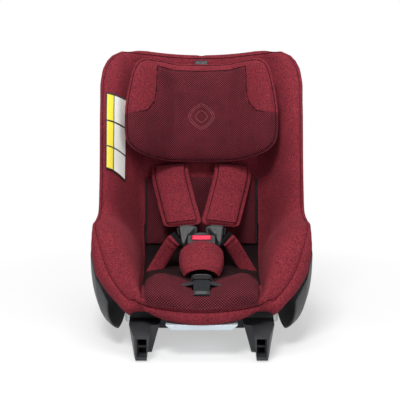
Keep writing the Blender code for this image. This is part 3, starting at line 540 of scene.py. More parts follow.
# ---- mesh making ---------------------------------------------------------------------------------
def build(name, points, faces, finishes, uvs=None, which=None, outward=True):
    """A smooth-shaded mesh piece. uvs are per point, in metres; which picks each face's finish."""
    mesh = bpy.data.meshes.new(name)
    mesh.from_pydata([tuple(p) for p in points], [], faces)
    for finish in finishes:
        mesh.materials.append(finish)
    if which is not None:
        mesh.polygons.foreach_set("material_index", which)
    if uvs is not None:
        layer = mesh.uv_layers.new(name="weave")
        corners = np.zeros(len(mesh.loops), int)
        mesh.loops.foreach_get("vertex_index", corners)
        layer.data.foreach_set("uv", np.array(uvs, float).reshape(-1, 2)[corners].ravel())
    if outward:
        work = bmesh.new()
        work.from_mesh(mesh)
        bmesh.ops.recalc_face_normals(work, faces=work.faces)
        work.to_mesh(mesh)
        work.free()
    mesh.shade_smooth()
    piece = bpy.data.objects.new(name, mesh)
    bpy.context.scene.collection.objects.link(piece)
    return piece


def grid_faces(rows, columns, below=None):
    """Quads of a grid; below gives another point's number at some (row, column) places."""
    below = below or {}

    def index(r, c):
        return below.get((r, c), r * columns + c)

    faces = []
    for r in range(rows - 1):
        for c in range(columns - 1):
            faces.append([index(r, c), index(r, c + 1), index(r + 1, c + 1), index(r + 1, c)])
    return faces


def ring_faces(first, second, count):
    """Quads between two closed rings of points, by the number of each ring's first point."""
    faces = []
    for k in range(count):
        m = (k + 1) % count
        faces.append([first + k, first + m, second + m, second + k])
    return faces


def two_sheets(rows, columns, pair):
    """Top and bottom grids; pair gives both points at a row and column, and is told if it's the edge."""
    sheets = []
    for i in range(rows):
        row = [pair(i, k, i in (0, rows - 1) or k in (0, columns - 1)) for k in range(columns)]
        sheets.append(row)
    sheets = np.array(sheets)
    return sheets[:, :, 0], sheets[:, :, 1]


def pillow(name, top, bottom, finishes, uvs, which=None):
    """A closed soft form between two grids that meet round their edge. Returns it and its top's points."""
    rows, columns = top.shape[:2]
    points = list(top.reshape(-1, 3))
    flat_uvs = list(uvs.reshape(-1, 2))
    below = {}
    for r in range(1, rows - 1):
        for c in range(1, columns - 1):
            below[r, c] = len(points)
            points.append(bottom[r, c])
            flat_uvs.append(uvs[r, c])
    faces = grid_faces(rows, columns)
    front = len(faces)
    faces += [face[::-1] for face in grid_faces(rows, columns, below)]
    if which is not None:
        which = list(which) + [0] * (len(faces) - front)
    return build(name, points, faces, finishes, flat_uvs, which), rows * columns


def tube(name, path, radius, finish, sides=8, closed=False):
    """Piping or cord trim along a path of points."""
    path = [Vector(p) for p in path]
    count = len(path)
    points, uvs = [], []
    length = 0.0
    side = None
    for i, place in enumerate(path):
        before = path[i - 1] if i or closed else place
        after = path[(i + 1) % count] if i < count - 1 or closed else place
        run = (after - before).normalized()
        side = run.orthogonal() if side is None else side - run * side.dot(run)
        side.normalize()
        up = run.cross(side)
        length += (place - path[i - 1]).length if i else 0.0
        for k in range(sides):
            turn = 2 * math.pi * k / sides
            points.append(place + side * radius * math.cos(turn) + up * radius * math.sin(turn))
            uvs.append((radius * turn, length))
    faces = []
    for i in range(count if closed else count - 1):
        faces += ring_faces(i * sides, (i + 1) % count * sides, sides)
    if not closed:
        faces += [list(range(sides))[::-1], [(count - 1) * sides + k for k in range(sides)]]
    return build(name, points, faces, [finish], uvs)


def prism(name, near, far, finish):
    """A solid between two like outlines of points."""
    count = len(near)
    faces = [list(range(count)), [count + i for i in range(count)][::-1]]
    return build(name, near + far, faces + ring_faces(0, count, count), [finish])


def flatten_modifiers(piece):
    """Makes the piece's modified shape its mesh."""
    graph = bpy.context.evaluated_depsgraph_get()
    shaped = piece.evaluated_get(graph)
    mesh = bpy.data.meshes.new_from_object(shaped, preserve_all_data_layers=True, depsgraph=graph)
    piece.modifiers.clear()
    piece.data = mesh


def carve(piece, outline, half_width):
    """Cuts a slot through a piece: an outline of (y, z) points across the middle."""
    near, far = [[(x, y, z) for y, z in outline] for x in (-half_width, half_width)]
    tool = prism("carving_tool", near, far, CHARCOAL)
    modifier = piece.modifiers.new("carve", "BOOLEAN")
    modifier.operation = "DIFFERENCE"
    modifier.object = tool
    flatten_modifiers(piece)
    bpy.data.objects.remove(tool, do_unlink=True)


def rectangle(low, high):
    return [(low[0], low[1]), (high[0], low[1]), (high[0], high[1]), (low[0], high[1])]


def refine(piece):
    """Subdivides a piece smoothly once."""
    piece.modifiers.new("refine", "SUBSURF").levels = 1
    flatten_modifiers(piece)


def thicken(piece, thickness):
    """Gives a skin its thickness, on the side away from its normals."""
    modifier = piece.modifiers.new("thickness", "SOLIDIFY")
    modifier.thickness = thickness
    modifier.offset = -1.0
    flatten_modifiers(piece)


def cut_passages(piece):
    """Cuts the headrest carrier's slot, and the crotch and adjuster straps' holes."""
    carve(piece, [tuple(on_back(0, along, off).yz) for along, off in CARRIER_SLOT], CARRIER_SLOT_HALF)
    for low, high, half in STRAP_HOLES:
        carve(piece, rectangle(low, high), half)
    piece.data.shade_smooth()


def wrinkle(place, size, depth, seed=0.0):
    """A soft irregular height at a point, for cloth that isn't quite smooth."""
    at = Vector(place) / size + Vector((seed, seed, seed))
    return depth * noise.noise(at)


# ---- cloth ---------------------------------------------------------------------------------------
SWELL_FRAMES = 20
swelling = []


def swell(piece, pinned, pressure, most):
    """Notes a padded piece for the cloth run: its pinned points are seams or lie on the seat."""
    swelling.append((piece, [int(i) for i in pinned], pressure, most))


def run_cloth():
    """Inflates every noted piece in one run, and keeps the swollen shapes."""
    scene = bpy.context.scene
    rest = {}
    for piece, pinned, pressure, most in swelling:
        rest[piece.name] = np.array([v.co for v in piece.data.vertices])
        group = piece.vertex_groups.new(name="seams")
        group.add(pinned, 1.0, "REPLACE")
        settings = piece.modifiers.new("swell", "CLOTH").settings
        settings.vertex_group_mass = "seams"
        settings.use_pressure = True
        settings.uniform_pressure_force = pressure
        settings.effector_weights.gravity = 0.0
        settings.tension_stiffness = 12.0
        settings.compression_stiffness = 12.0
        settings.bending_stiffness = 0.4
        settings.quality = 4
    for step in range(1, SWELL_FRAMES + 1):
        scene.frame_set(step)
    for piece, pinned, pressure, most in swelling:
        start = rest[piece.name]
        flatten_modifiers(piece)
        piece.vertex_groups.clear()
        moved = np.array([v.co for v in piece.data.vertices]) - start
        reach = np.linalg.norm(moved, axis=1, keepdims=True)
        limit = most * np.tanh(reach / most) / np.maximum(reach, 1e-9)
        piece.data.vertices.foreach_set("co", (start + moved * limit).ravel())
        piece.data.update()
        refine(piece)
    scene.frame_set(1)


# ---- cover ---------------------------------------------------------------------------------------
SEAM_WIDTH = 0.0026
SEAM_DEPTH = 0.0030
ROLL_TURNS = 9
HEM_STEPS = (0.4, 0.75, 1.0)
# How far the hem falls at the sides, at the front's middle, and further at the front's corners.
HEM_SIDE = 0.022
HEM_FRONT = 0.008
HEM_CORNER = 0.021
# Width and depth of the short seam that crosses the band at the top's middle.
NOTCH = 0.0016
SEAM_RADIUS = 0.0008
# How far the hem's end stands off the line below the rim.
HEM_CLOSE = 0.0075
COVER_SKIN = 0.0028
COVER_SHARES = np.concatenate([np.linspace(0, 0.45, 12), np.linspace(0.47, 0.965, 26), (0.98, 0.99, 1.0)])
COVER_STATIONS = np.concatenate([(0, 0.004, 0.010, 0.018), np.linspace(0.03, 0.965, 88), (0.98, 0.99, 1.0)])


def cover_relief(share, station, to_rim, to_front):
    """How far the padded face stands off the bucket: fat bolsters, sunk seams and slight wrinkles."""
    wall = min(max((share - 0.47) / 0.53, 0.0), 1.0)
    bolster = smoothstep((0.62 - station) / 0.14)
    fullness = (0.0052 * bolster + 0.0012) * math.sin(math.pi * wall) ** 0.8
    seam = bell(to_rim, SEAM_WIDTH) + bell(to_front, SEAM_WIDTH)
    return fullness - SEAM_DEPTH * min(seam, 1.0)


def edge_directions(grid, normals, edge):
    """Outward directions round the grid's edge, eased round its corners."""
    rows, columns = grid.shape[:2]
    across = np.gradient(grid, axis=1)
    along = np.gradient(grid, axis=0)
    outward = []
    for r, c in edge:
        ray = np.zeros(3)
        if c in (0, columns - 1):
            ray += across[r, c] / np.linalg.norm(across[r, c]) * (1 if c else -1)
        if r in (0, rows - 1):
            ray += along[r, c] / np.linalg.norm(along[r, c]) * (1 if r else -1)
        outward.append(ray / np.linalg.norm(ray))
    outward = np.array(outward)
    for _ in range(14):
        outward = (np.roll(outward, 1, 0) + outward * 2 + np.roll(outward, -1, 0)) / 4
    normal = np.array([normals[r, c] for r, c in edge])
    outward -= normal * np.sum(normal * outward, axis=1, keepdims=True)
    return outward / np.linalg.norm(outward, axis=1, keepdims=True)


def eased(values, times):
    values = np.array(values, float)
    for _ in range(times):
        values = (np.roll(values, 1) + values * 2 + np.roll(values, -1)) / 4
    return values


def cover_rings(grid, normals):
    """The skin carried on round the rolled edge and down its outside to the hem."""
    rows, columns = grid.shape[:2]
    edge = boundary(rows, columns)
    outward = edge_directions(grid, normals, edge)
    crowns = [abs(2 * c / (columns - 1) - 1) for r, c in edge]
    backs = [90 if 0 < r < rows - 1 else 15 + 75 * crown**3 for (r, c), crown in zip(edge, crowns)]
    backs = np.radians(eased(backs, 6))
    fronts = [HEM_FRONT + HEM_CORNER * smoothstep(crown / 0.6) for crown in crowns]
    drops = eased([HEM_SIDE if r else front for (r, c), front in zip(edge, fronts)], 6)
    rings = [[] for _ in range(ROLL_TURNS + len(HEM_STEPS))]
    for i, (r, c) in enumerate(edge):
        normal = normals[r, c]
        roll = straight(ROLL, COVER_STATIONS[r])
        centre = grid[r, c] - normal * roll
        last_turn = math.pi - backs[i]
        notch = NOTCH * bell(grid[r, c][0], NOTCH) if r == rows - 1 else 0.0
        for level in range(ROLL_TURNS):
            t = last_turn * (level + 1) / ROLL_TURNS
            shrink = 1 - 0.5 * smoothstep((t - math.pi / 2) / (math.pi / 2))
            full = roll * shrink - SEAM_DEPTH * bell(t * roll, SEAM_WIDTH) - notch
            full += 0.07 * roll * math.sin(math.pi * (level + 1) / ROLL_TURNS)
            rings[level].append(centre + (normal * math.cos(t) + outward[i] * math.sin(t)) * full)
        side = normal * math.cos(last_turn) + outward[i] * math.sin(last_turn)
        down = -(outward[i] * math.cos(backs[i]) + normal * math.sin(backs[i]))
        shrink = 1 - 0.5 * smoothstep((last_turn - math.pi / 2) / (math.pi / 2))
        for k, part in enumerate(HEM_STEPS):
            reach = roll * shrink * (1 - part) + HEM_CLOSE * part
            rings[ROLL_TURNS + k].append(centre + down * drops[i] * part + side * reach)
    return edge, rings


def make_cover():
    grid = mirrored_grid(inner_point, COVER_SHARES, COVER_STATIONS)
    rows, columns = grid.shape[:2]
    normals = grid_normals(grid)
    uvs = grid_uvs(grid)
    half = columns // 2
    relief = np.zeros((rows, columns))
    for r in range(rows):
        for c in range(columns):
            to_rim = abs(uvs[r, -1 if c > half else 0, 0] - uvs[r, c, 0])
            share = COVER_SHARES[abs(c - half)]
            relief[r, c] = cover_relief(share, COVER_STATIONS[r], to_rim, uvs[r, c, 1])
            wall = smoothstep((share - 0.45) / 0.1)
            relief[r, c] += wall * wrinkle(grid[r, c], 0.045, 0.0014, 3.0)
    shaped = grid + normals * relief[:, :, None]
    edge, rings = cover_rings(grid, normals)
    points = list(shaped.reshape(-1, 3))
    flat_uvs = list(uvs.reshape(-1, 2))
    faces = grid_faces(rows, columns)
    which = []
    for r in range(rows - 1):
        for c in range(columns - 1):
            share = COVER_SHARES[max(abs(c - half), abs(c + 1 - half))]
            # Painted shade: the cover's floor under and between the cushions takes the near-black mesh.
            painted_shade_floor = share < 0.46 and 0.25 < COVER_STATIONS[r] < 0.60
            which.append(1 if painted_shade_floor else 0)
    last = [r * columns + c for r, c in edge]
    for ring in rings:
        first = len(points)
        points.extend(ring)
        flat_uvs.extend(flat_uvs[i] for i in last)
        for i in range(len(ring)):
            j = (i + 1) % len(ring)
            faces.append([last[j], last[i], first + i, first + j])
            which.append(0)
        last = range(first, first + len(ring))
    cover = build("cover", points, faces, [MELANGE, PAINTED_SHADE_MESH], flat_uvs, which, outward=False)
    thicken(cover, COVER_SKIN)
    cut_passages(cover)
    path = [shaped[r, c] - normals[r, c] * 0.0002 for r, c in edge]
    cord("cover_seam", path, SEAM_RADIUS, SEAM_THREAD_AND_SHADE, "seat", closed=True)
    return finish_piece(cover, "seat", ["seat_cover"], fill=0.55)


def finish_piece(piece, body, nodes=(), fill=None):
    """Rides a piece on its body, with the CAD nodes it stands for, which it hides; fill, its padding, is not
    used.
    """
    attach(piece, body)
    if nodes:
        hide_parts(*nodes)
    return piece


def cord(name, path, radius, finish, body, closed=False, sides=8):
    """A tube that rides on a body: piping, binding or the line of a seam."""
    finish_piece(tube(name, path, radius, finish, sides, closed), body)


def make_shell():
    grid = mirrored_grid(outer_point, np.linspace(0, 1, 36), np.linspace(SHELL_FRONT, 0.975, 80))
    faces = [face[::-1] for face in grid_faces(*grid.shape[:2])]
    shell = build("shell", grid.reshape(-1, 3), faces, [CHARCOAL], outward=False)
    thicken(shell, SHELL_THICKNESS)
    cut_passages(shell)
    shell.data.set_sharp_from_angle(angle=math.radians(40))
    return finish_piece(shell, "seat", ["seat_shell"])


def trim_point(y, level):
    """x and z of the side panel's outer face; level runs from 0 at the top to 1 at the skirt's edge."""
    top = straight(TRIM_TOP, y)
    bottom = arc_height(SKIRT_RADIUS, y)
    z = top + (bottom - top) * level
    widest = straight(TRIM_WIDEST, y)
    foot = straight(TRIM_FOOT, y)
    bulge = math.sqrt(max(0.0, 1 - level**2.6))
    return foot + (widest - foot) * bulge, z


def make_side_trims():
    levels = np.sin(np.linspace(0, math.pi / 2, 22))
    for side, name in SIDES:
        outer = []
        for y in np.linspace(TRIM_TOP[0][0], TRIM_TOP[-1][0], 60):
            outer.append([(side * x, y, z) for x, z in (trim_point(y, level) for level in levels)])
        grid = np.array(outer)
        faces = grid_faces(*grid.shape[:2])
        if side > 0:
            faces = [face[::-1] for face in faces]
        trim = build("side_panel_" + name, grid.reshape(-1, 3), faces, [CHARCOAL], outward=False)
        thicken(trim, 0.003)
        bevel = trim.modifiers.new("edge", "BEVEL")
        bevel.width = 0.0008
        bevel.segments = 2
        flatten_modifiers(trim)
        trim.data.shade_smooth()
        finish_piece(trim, "seat", ["side_trim_" + name])


# ---- cushions ------------------------------------------------------------------------------------
QUILT_DEPTH = 0.0016
QUILT_PITCH = 0.058


def seat_height(across, station):
    """Seat cushion's thickness: two thigh lobes with a valley between them for the adjuster."""
    lobe = bell(abs(across) - 0.72, 0.36)
    crest = bell(station - 0.165, 0.10)
    ends = smoothstep(station / 0.06) * smoothstep((0.47 - station) / 0.06)
    side = 1 - 0.6 * smoothstep((abs(across) - 0.8) / 0.2)
    return 0.0035 + ends * (0.005 * side + 0.024 * lobe * crest)


def back_height(across, station):
    ends = smoothstep((station - 0.53) / 0.05) * smoothstep((0.755 - station) / 0.04)
    return 0.0035 + 0.008 * ends * (1 - 0.6 * across**4)


def cushion(name, edge_at, stations, columns, height, finishes, quilted=None):
    """A cushion on the bucket's floor or back, with its seams pinned for the cloth run."""
    rows = len(stations)
    spread = np.linspace(-1, 1, columns)

    def pair(i, k, rim):
        station, across = stations[i], spread[k]
        off = np.array([0, *spine_normal(station)])
        edge = edge_at(station)
        base = floor_point(abs(across) * edge / straight(FLOOR_HALF_WIDTH, station), station)
        base[0] = across * edge
        lift = height(across, station)
        if rim:
            lift = 0.5 * lift + 0.5 * CUSHION_GAP
        return base + off * lift, base + off * CUSHION_GAP

    top, bottom = two_sheets(rows, columns, pair)
    uvs = grid_uvs(top)
    normals = grid_normals(top)
    held = set(boundary(rows, columns))
    for r in range(rows):
        for c in range(columns):
            depth = quilted(*uvs[r, c]) if quilted else 0.0
            if (r, c) not in held:
                top[r, c] -= normals[r, c] * QUILT_DEPTH * depth
            if depth > 0.5:
                held.add((r, c))
    which = []
    for station in stations[:-1]:
        for across in spread[:-1]:
            # Painted shade: faces behind that station take the near-black mesh.
            which.append(1 if len(finishes) > 1 and station > painted_shade_edge(across) else 0)
    piece, above = pillow(name, top, bottom, finishes, uvs, which)
    return piece, held_points(piece, above, columns, held), top


def held_points(piece, above, columns, held):
    """The numbers of a padded piece's held top places, and of all its underside's points."""
    return [r * columns + c for r, c in held] + list(range(above, len(piece.data.vertices)))


def painted_shade_edge(across):
    """Station where the seat cushion's red mesh gives way to the near-black painted shade mesh, behind the
    thigh lobes, where the seat lies in shade.
    """
    return 0.195 + 0.085 * smoothstep((abs(across) - 0.12) / 0.55)


def diamond_quilting(across, along):
    """1 on the back cushion's crossed stitch lines, falling to 0 beside them."""
    lines = [(across + along * 0.62) / QUILT_PITCH, (across - along * 0.62) / QUILT_PITCH]
    distance = min(abs(line - round(line)) for line in lines) * QUILT_PITCH
    return bell(distance, 0.0022)


def make_cushions():
    seat, pinned, _ = cushion(
        "seat_pad",
        lambda v: straight(FLOOR_HALF_WIDTH, v) - 0.006,
        np.linspace(0.006, 0.455, 84),
        53,
        seat_height,
        [CUSHION_MESH, PAINTED_SHADE_MESH],
    )
    swell(seat, pinned, 2.0, 0.0035)
    back, pinned, top = cushion(
        "back_pad",
        lambda v: 0.1185,
        np.linspace(0.55, 0.735, 44),
        59,
        back_height,
        [BACK_MESH],
        diamond_quilting,
    )
    swell(back, pinned, 4.0, 0.004)
    for column, name in ((-1, "right"), (0, "left")):
        path = top[1:-1, column] + np.array([0, -0.001, 0.0])
        cord("back_piping_" + name, path, 0.0019, PIPING, "seat")
    return seat, back


# ---- headrest ------------------------------------------------------------------------------------
HEAD_MIDDLE = -0.02
HEAD_SIDES = 150
# Inner edge of the headrest's ears: place along the back, and half width there.
EAR_FOOT = -0.0395
EAR_EDGE = (
    (-0.131, 0.170),
    (EAR_FOOT, 0.166),
    (-0.037, 0.129),
    (-0.031, 0.112),
    (-0.010, 0.0985),
    (0.010, 0.0945),
    (0.09, 0.0925),
)
# Lower edge of the headrest's top band, by place across.
BAND_FOOT = ((0.0, 0.0635), (0.05, 0.0650), (0.095, 0.0685))
HEAD_SEAM_INSET = 0.0065


def head_outline(turn):
    """(across, along) of the headrest's edge: boxy at the top, rounder below."""
    c, s = math.cos(turn), math.sin(turn)
    middle = -0.045
    power = 7.5 if s > 0 else 4.3
    reach = (abs(c) ** power + abs(s) ** power) ** (-1 / power)
    height = (HEAD_TOP - middle) if s > 0 else (middle - HEAD_BOTTOM)
    width = HEAD_HALF_WIDTH - 0.016 * smoothstep(max(s, 0) * reach)
    dip = -0.006 * max(s, 0) * (1 - (c * reach) ** 2)
    return c * reach * width, middle + s * reach * height + dip


def head_back(x):
    """How far the headrest's rear face stands off the back, at x."""
    return 0.0145 + 0.054 * smoothstep((abs(x) - 0.098) / 0.066)


def head_front(x):
    return 0.058 + 0.066 * smoothstep((abs(x) - 0.050) / 0.098)


def head_disc(shape, rings, scale=1.0, sides=HEAD_SIDES):
    """Rings of points from the middle to the edge; shape gives the height off the back."""
    disc = []
    for ring in rings:
        row = []
        for i in range(sides):
            across, along = head_outline(2 * math.pi * i / sides)
            x = across * ring * scale
            s = HEAD_MIDDLE + (along - HEAD_MIDDLE) * ring * scale
            row.append((x, s, shape(x, s, ring)))
        disc.append(row)
    return disc


def in_mesh_panel(x, s):
    """How far inside the headrest's mesh panel a place is; negative on the ears and the top band."""
    ear = straight(EAR_EDGE, s) - abs(x)
    if s < EAR_FOOT:
        ear = 0.05
    elif s < -0.031:
        ear = max(ear, EAR_FOOT - s)
    return min(ear, straight(BAND_FOOT, abs(x)) - s)


def head_face(x, s, ring):
    """Front of the headrest pad: forward wings, soft ridges beside the hollow and sunk seams."""
    rim = HEAD_HALF_WIDTH * (1 - ring)
    seam = bell(rim - HEAD_SEAM_INSET, 0.0024) + bell(in_mesh_panel(x, s), 0.0024)
    ridge = 0.0048 * bell(abs(x) - 0.078, 0.011) * smoothstep((s + 0.05) / 0.06)
    hollow = 0.0055 * bell(x, 0.045) * bell(s + 0.03, 0.06)
    return head_front(x) - 0.020 * ring**6 + ridge - hollow - 0.0022 * min(seam, 1.0)


def disc_piece(name, front, back, finishes, in_panel=None):
    """A closed form between two discs of rings that meet at their last ring."""
    sides = len(front[0])
    flat = [front[0][0]] + [p for row in front[1:] for p in row]
    start = len(flat)
    flat += [back[0][0]] + [p for row in back[1:-1] for p in row]
    uvs = [p[:2] for p in flat]
    front_rings = [1 + k * sides for k in range(len(front) - 1)]
    back_rings = [start + 1 + k * sides for k in range(len(back) - 2)] + [front_rings[-1]]
    faces = []
    for centre, rings in ((0, front_rings), (start, back_rings)):
        faces += [[centre, rings[0] + i, rings[0] + (i + 1) % sides] for i in range(sides)]
        for a, b in zip(rings, rings[1:]):
            faces += ring_faces(a, b, sides)
    which = []
    for face in faces:
        across, along = np.mean([uvs[n] for n in face], axis=0)
        is_front = max(face) < start
        which.append(1 if in_panel and is_front and in_panel(across, along) else 0)
    return build(name, [on_back(*p) for p in flat], faces, finishes, uvs, which), uvs, start


def make_headrest():
    rings = np.concatenate([np.linspace(0, 0.90, 26), (0.925, 0.945, 0.96, 0.975, 0.99, 1.0)])
    front = head_disc(head_face, rings)
    back = head_disc(lambda x, s, ring: head_back(x) + 0.0095, np.linspace(0, 1, 12))
    pad, uvs, start = disc_piece(
        "headrest_cushion", front, back, [MELANGE, HEAD_MESH], lambda x, s: in_mesh_panel(x, s) > 0
    )
    pinned = list(range(start, len(uvs)))
    for i in range(start):
        ring = 0 if i == 0 else rings[1 + (i - 1) // HEAD_SIDES]
        from_seam = abs(HEAD_HALF_WIDTH * (1 - ring) - HEAD_SEAM_INSET)
        if min(from_seam, abs(in_mesh_panel(*uvs[i]))) < 0.0025:
            pinned.append(i)
    swell(pad, pinned, 3.0, 0.004)
    shell_rings = np.linspace(0, 1, 14)
    near = head_disc(lambda x, s, ring: head_back(x) + 0.004, shell_rings, 0.88, 96)
    far = head_disc(lambda x, s, ring: head_back(x) + 0.003 * ring**8, shell_rings, 0.88, 96)
    shell, _, _ = disc_piece("headrest_frame", near, far, [BLACK])
    finish_piece(shell, "headrest", ["headrest_shell"])
    return pad


def diamond(radius, count):
    """A rounded diamond of (across, along) points."""
    power = 1.45
    places = []
    for i in range(count):
        turn = 2 * math.pi * i / count
        c, s = math.cos(turn), math.sin(turn)
        reach = radius * (abs(c) ** power + abs(s) ** power) ** (-1 / power)
        places.append((reach * c, reach * s))
    return places


def face_of(pad):
    """A function from a place across and along the back to the pad's front face, with a lift off it."""
    rows = []
    for vertex in pad.data.vertices:
        reach = vertex.co - HEAD_ORIGIN
        row = (reach.x, reach.dot(ALONG_BACK), reach.dot(OFF_BACK))
        if row[2] > head_front(row[0]) - 0.024:
            rows.append(row)
    rows = np.array(rows)

    def place(x, s, lift):
        gaps = (rows[:, 0] - x) ** 2 + (rows[:, 1] - s) ** 2
        near = np.argsort(gaps)[:4]
        weights = 1 / (gaps[near] + 1e-8)
        return on_back(x, s, float(np.sum(rows[near, 2] * weights) / np.sum(weights)) + lift)

    return place


def make_head_seams(place):
    """Sunk seams: one round the headrest's face, and one between its ears, top band and mesh panel."""
    ring = 1 - HEAD_SEAM_INSET / HEAD_HALF_WIDTH
    path = []
    for i in range(180):
        across, along = head_outline(2 * math.pi * i / 180)
        path.append(place(across * ring, HEAD_MIDDLE + (along - HEAD_MIDDLE) * ring, 0.0))
    cord("headrest_edge_seam", path, SEAM_RADIUS, SEAM_THREAD_AND_SHADE, "headrest", closed=True)
    ear = [(straight(EAR_EDGE, s), s) for s in np.linspace(-0.0382, BAND_FOOT[-1][1], 60)]
    corner = ear[-1][0]
    band = [(x, straight(BAND_FOOT, abs(x))) for x in np.linspace(corner, -corner, 50)[1:-1]]
    path = [place(x, s, 0.0) for x, s in ear + band + [(-x, s) for x, s in reversed(ear)]]
    cord("headrest_panel_seam", path, SEAM_RADIUS, SEAM_THREAD_AND_SHADE, "headrest")


def make_emblem(place):
    """Plain stitched diamonds on the headrest, sewn through its face."""
    points, faces = [], []
    for radius, count in ((0.0275, 120), (0.0232, 100), (0.0125, 56)):
        ring = [place(x, s - 0.036, 0.0004) for x, s in diamond(radius, count)]
        for i in range(0, count, 2):
            add_stitch(points, faces, ring[i], ring[i + 1], OFF_BACK, 0.0006)
    emblem = build("headrest_stitching", points, faces, [PINK_THREAD])
    finish_piece(emblem, "headrest")


def add_stitch(points, faces, start, end, up, radius):
    """One stitch: a short yarn with pointed ends, added to a mesh in the making."""
    run = (end - start).normalized()
    side = run.cross(up).normalized() * radius
    rise = up * radius
    middle = (start + end) / 2
    first = len(points)
    points.append(start - run * radius)
    points += [middle + side, middle + rise, middle - side, middle - rise]
    points.append(end + run * radius)
    for k in range(4):
        a, b = first + 1 + k, first + 1 + (k + 1) % 4
        faces.append([first, a, b])
        faces.append([first + 5, b, a])


# ---- harness -------------------------------------------------------------------------------------
SHOULDER_PATH = (
    (0.00, 0.0675, 0.1316, 0.308),
    (0.20, 0.0650, 0.1115, 0.288),
    (0.50, 0.0560, 0.0890, 0.250),
    (0.80, 0.0440, 0.0580, 0.215),
    (1.00, 0.0345, 0.0365, 0.1925),
)
SHOULDER_OUTWARD = ((0, -0.0375), (0.2, -0.0405), (0.5, -0.0395), (0.8, -0.0400), (1, -0.0410))
SHOULDER_INWARD = ((0, 0.0385), (0.2, 0.0365), (0.5, 0.0375), (0.8, 0.0365), (1, 0.0335))
LAP_PATH = (
    (0.00, 0.0480, 0.0080, 0.1720),
    (0.27, 0.0580, 0.0150, 0.1625),
    (0.55, 0.0700, 0.0190, 0.1440),
    (0.80, 0.0820, 0.0190, 0.1240),
    (1.00, 0.0930, 0.0150, 0.1060),
    (1.20, 0.1030, 0.0080, 0.0900),
)
# Visible run of a shoulder strap, from the pad down into the tongue.
SHOULDER_STRAP = ((0.0335, 0.0345, 0.1905), (0.0320, 0.0262, 0.1832), (0.0310, 0.0200, 0.1785))
WEB_HALF = 0.018
LAP_WEB_HALF = 0.0148
LAP_PAD_HALF = 0.0155
# Lean of a shoulder pad's lower end, so that it hangs level.
END_SLANT = 0.36


def frames_along(places, up):
    """Place, across direction and normal at each of a run of places; across keeps to one side."""
    frames = []
    for i, place in enumerate(places):
        run = (places[min(i + 1, len(places) - 1)] - places[max(i - 1, 0)]).normalized()
        across = run.cross(Vector(up)).normalized()
        if frames and across.dot(frames[-1][1]) < 0:
            across = -across
        frames.append((place, across, across.cross(run).normalized()))
    return frames


def strip_frames(path, count, up, side):
    """Frames down a table's smooth path, on the right or mirrored to the left."""
    places = []
    for t in np.linspace(path[0][0], path[-1][0], count):
        x, y, z = through(path, t)
        places.append(Vector((side * x, y, z)))
    return frames_along(places, up)


def corner_inset(distance, radius):
    """How far a rounded corner pulls the edge in, at a distance from the strip's end."""
    gap = max(radius - distance, 0.0)
    return radius - math.sqrt(max(radius**2 - gap**2, 0.0))


def across_share(k, columns):
    """Place of a column across a padded strip, from -1 to 1, closer set towards the edges."""
    return -math.cos(math.pi * k / (columns - 1)) * 0.35 + (2 * k / (columns - 1) - 1) * 0.65


def padded_strip(name, frames, edges, profile, under, columns=25, corner=0.009):
    """A padded sleeve along frames; edges gives its two sides at a share of its length."""
    count = len(frames)
    length = sum((frames[i + 1][0] - frames[i][0]).length for i in range(count - 1))

    def pair(i, k, rim):
        place, across, normal = frames[i]
        share = i / (count - 1)
        low, high = edges(share)
        inset = corner_inset(min(share, 1 - share) * length, corner)
        half = (high - low) / 2 - inset
        t = across_share(k, columns)
        middle = place + across * ((low + high) / 2 + half * t)
        lift = 0.0 if rim else profile(t, share, half)
        return middle + normal * lift, middle - normal * under

    top, bottom = two_sheets(count, columns, pair)
    return pillow(name, top, bottom, [PAD_MELANGE], grid_uvs(top)), top


def shoulder_profile(t, share, half):
    """Height across a shoulder pad: a raised panel inside a flat binding."""
    inside = half * (1 - abs(t))
    ends = smoothstep(share / 0.05) * smoothstep((1 - share) / 0.05)
    panel = smoothstep((inside - 0.0055) / 0.0030)
    return (0.0014 + 0.0052 * panel * (0.4 + 0.6 * ends)) - 0.0008 * bell(inside - 0.0062, 0.0012)


def shoulder_frames(side):
    """Frames down a shoulder pad; its lower rows are turned level."""
    count = 48
    frames = []
    for i, (place, across, normal) in enumerate(strip_frames(SHOULDER_PATH, count, (0, -1, 0), side)):
        slant = END_SLANT * smoothstep(i / (count - 1) * 2.5 - 1.5) * side
        frames.append((place, across + normal.cross(across) * slant, normal))
    return frames


def make_shoulder_pads():
    pads = []
    for side, name in SIDES:

        def edges(share):
            low, high = straight(SHOULDER_OUTWARD, share), straight(SHOULDER_INWARD, share)
            return (low, high) if side > 0 else (-high, -low)

        (pad, above), top = padded_strip(
            "shoulder_cushion_" + name, shoulder_frames(side), edges, shoulder_profile, 0.0042, 33
        )
        rows, columns = top.shape[:2]
        held = {(r, c) for r in (0, rows - 1) for c in range(columns)}
        for r in range(rows):
            low, high = edges(r / (rows - 1))
            for c in range(columns):
                if (high - low) / 2 * (1 - abs(across_share(c, columns))) < 0.0070:
                    held.add((r, c))
        swell(pad, held_points(pad, above, columns, held), 4.0, 0.004)
        edge = [top[r, c] for r, c in boundary(rows, columns)]
        cord("shoulder_binding_" + name, edge, 0.0014, PAD_MELANGE, "headrest", closed=True)
        inset = [top[r + 2, c + 4] for r, c in boundary(rows - 4, columns - 8)]
        cord("shoulder_seam_" + name, inset, 0.0007, SEAM_THREAD_AND_SHADE, "headrest", closed=True)
        pads.append(pad)
    return pads


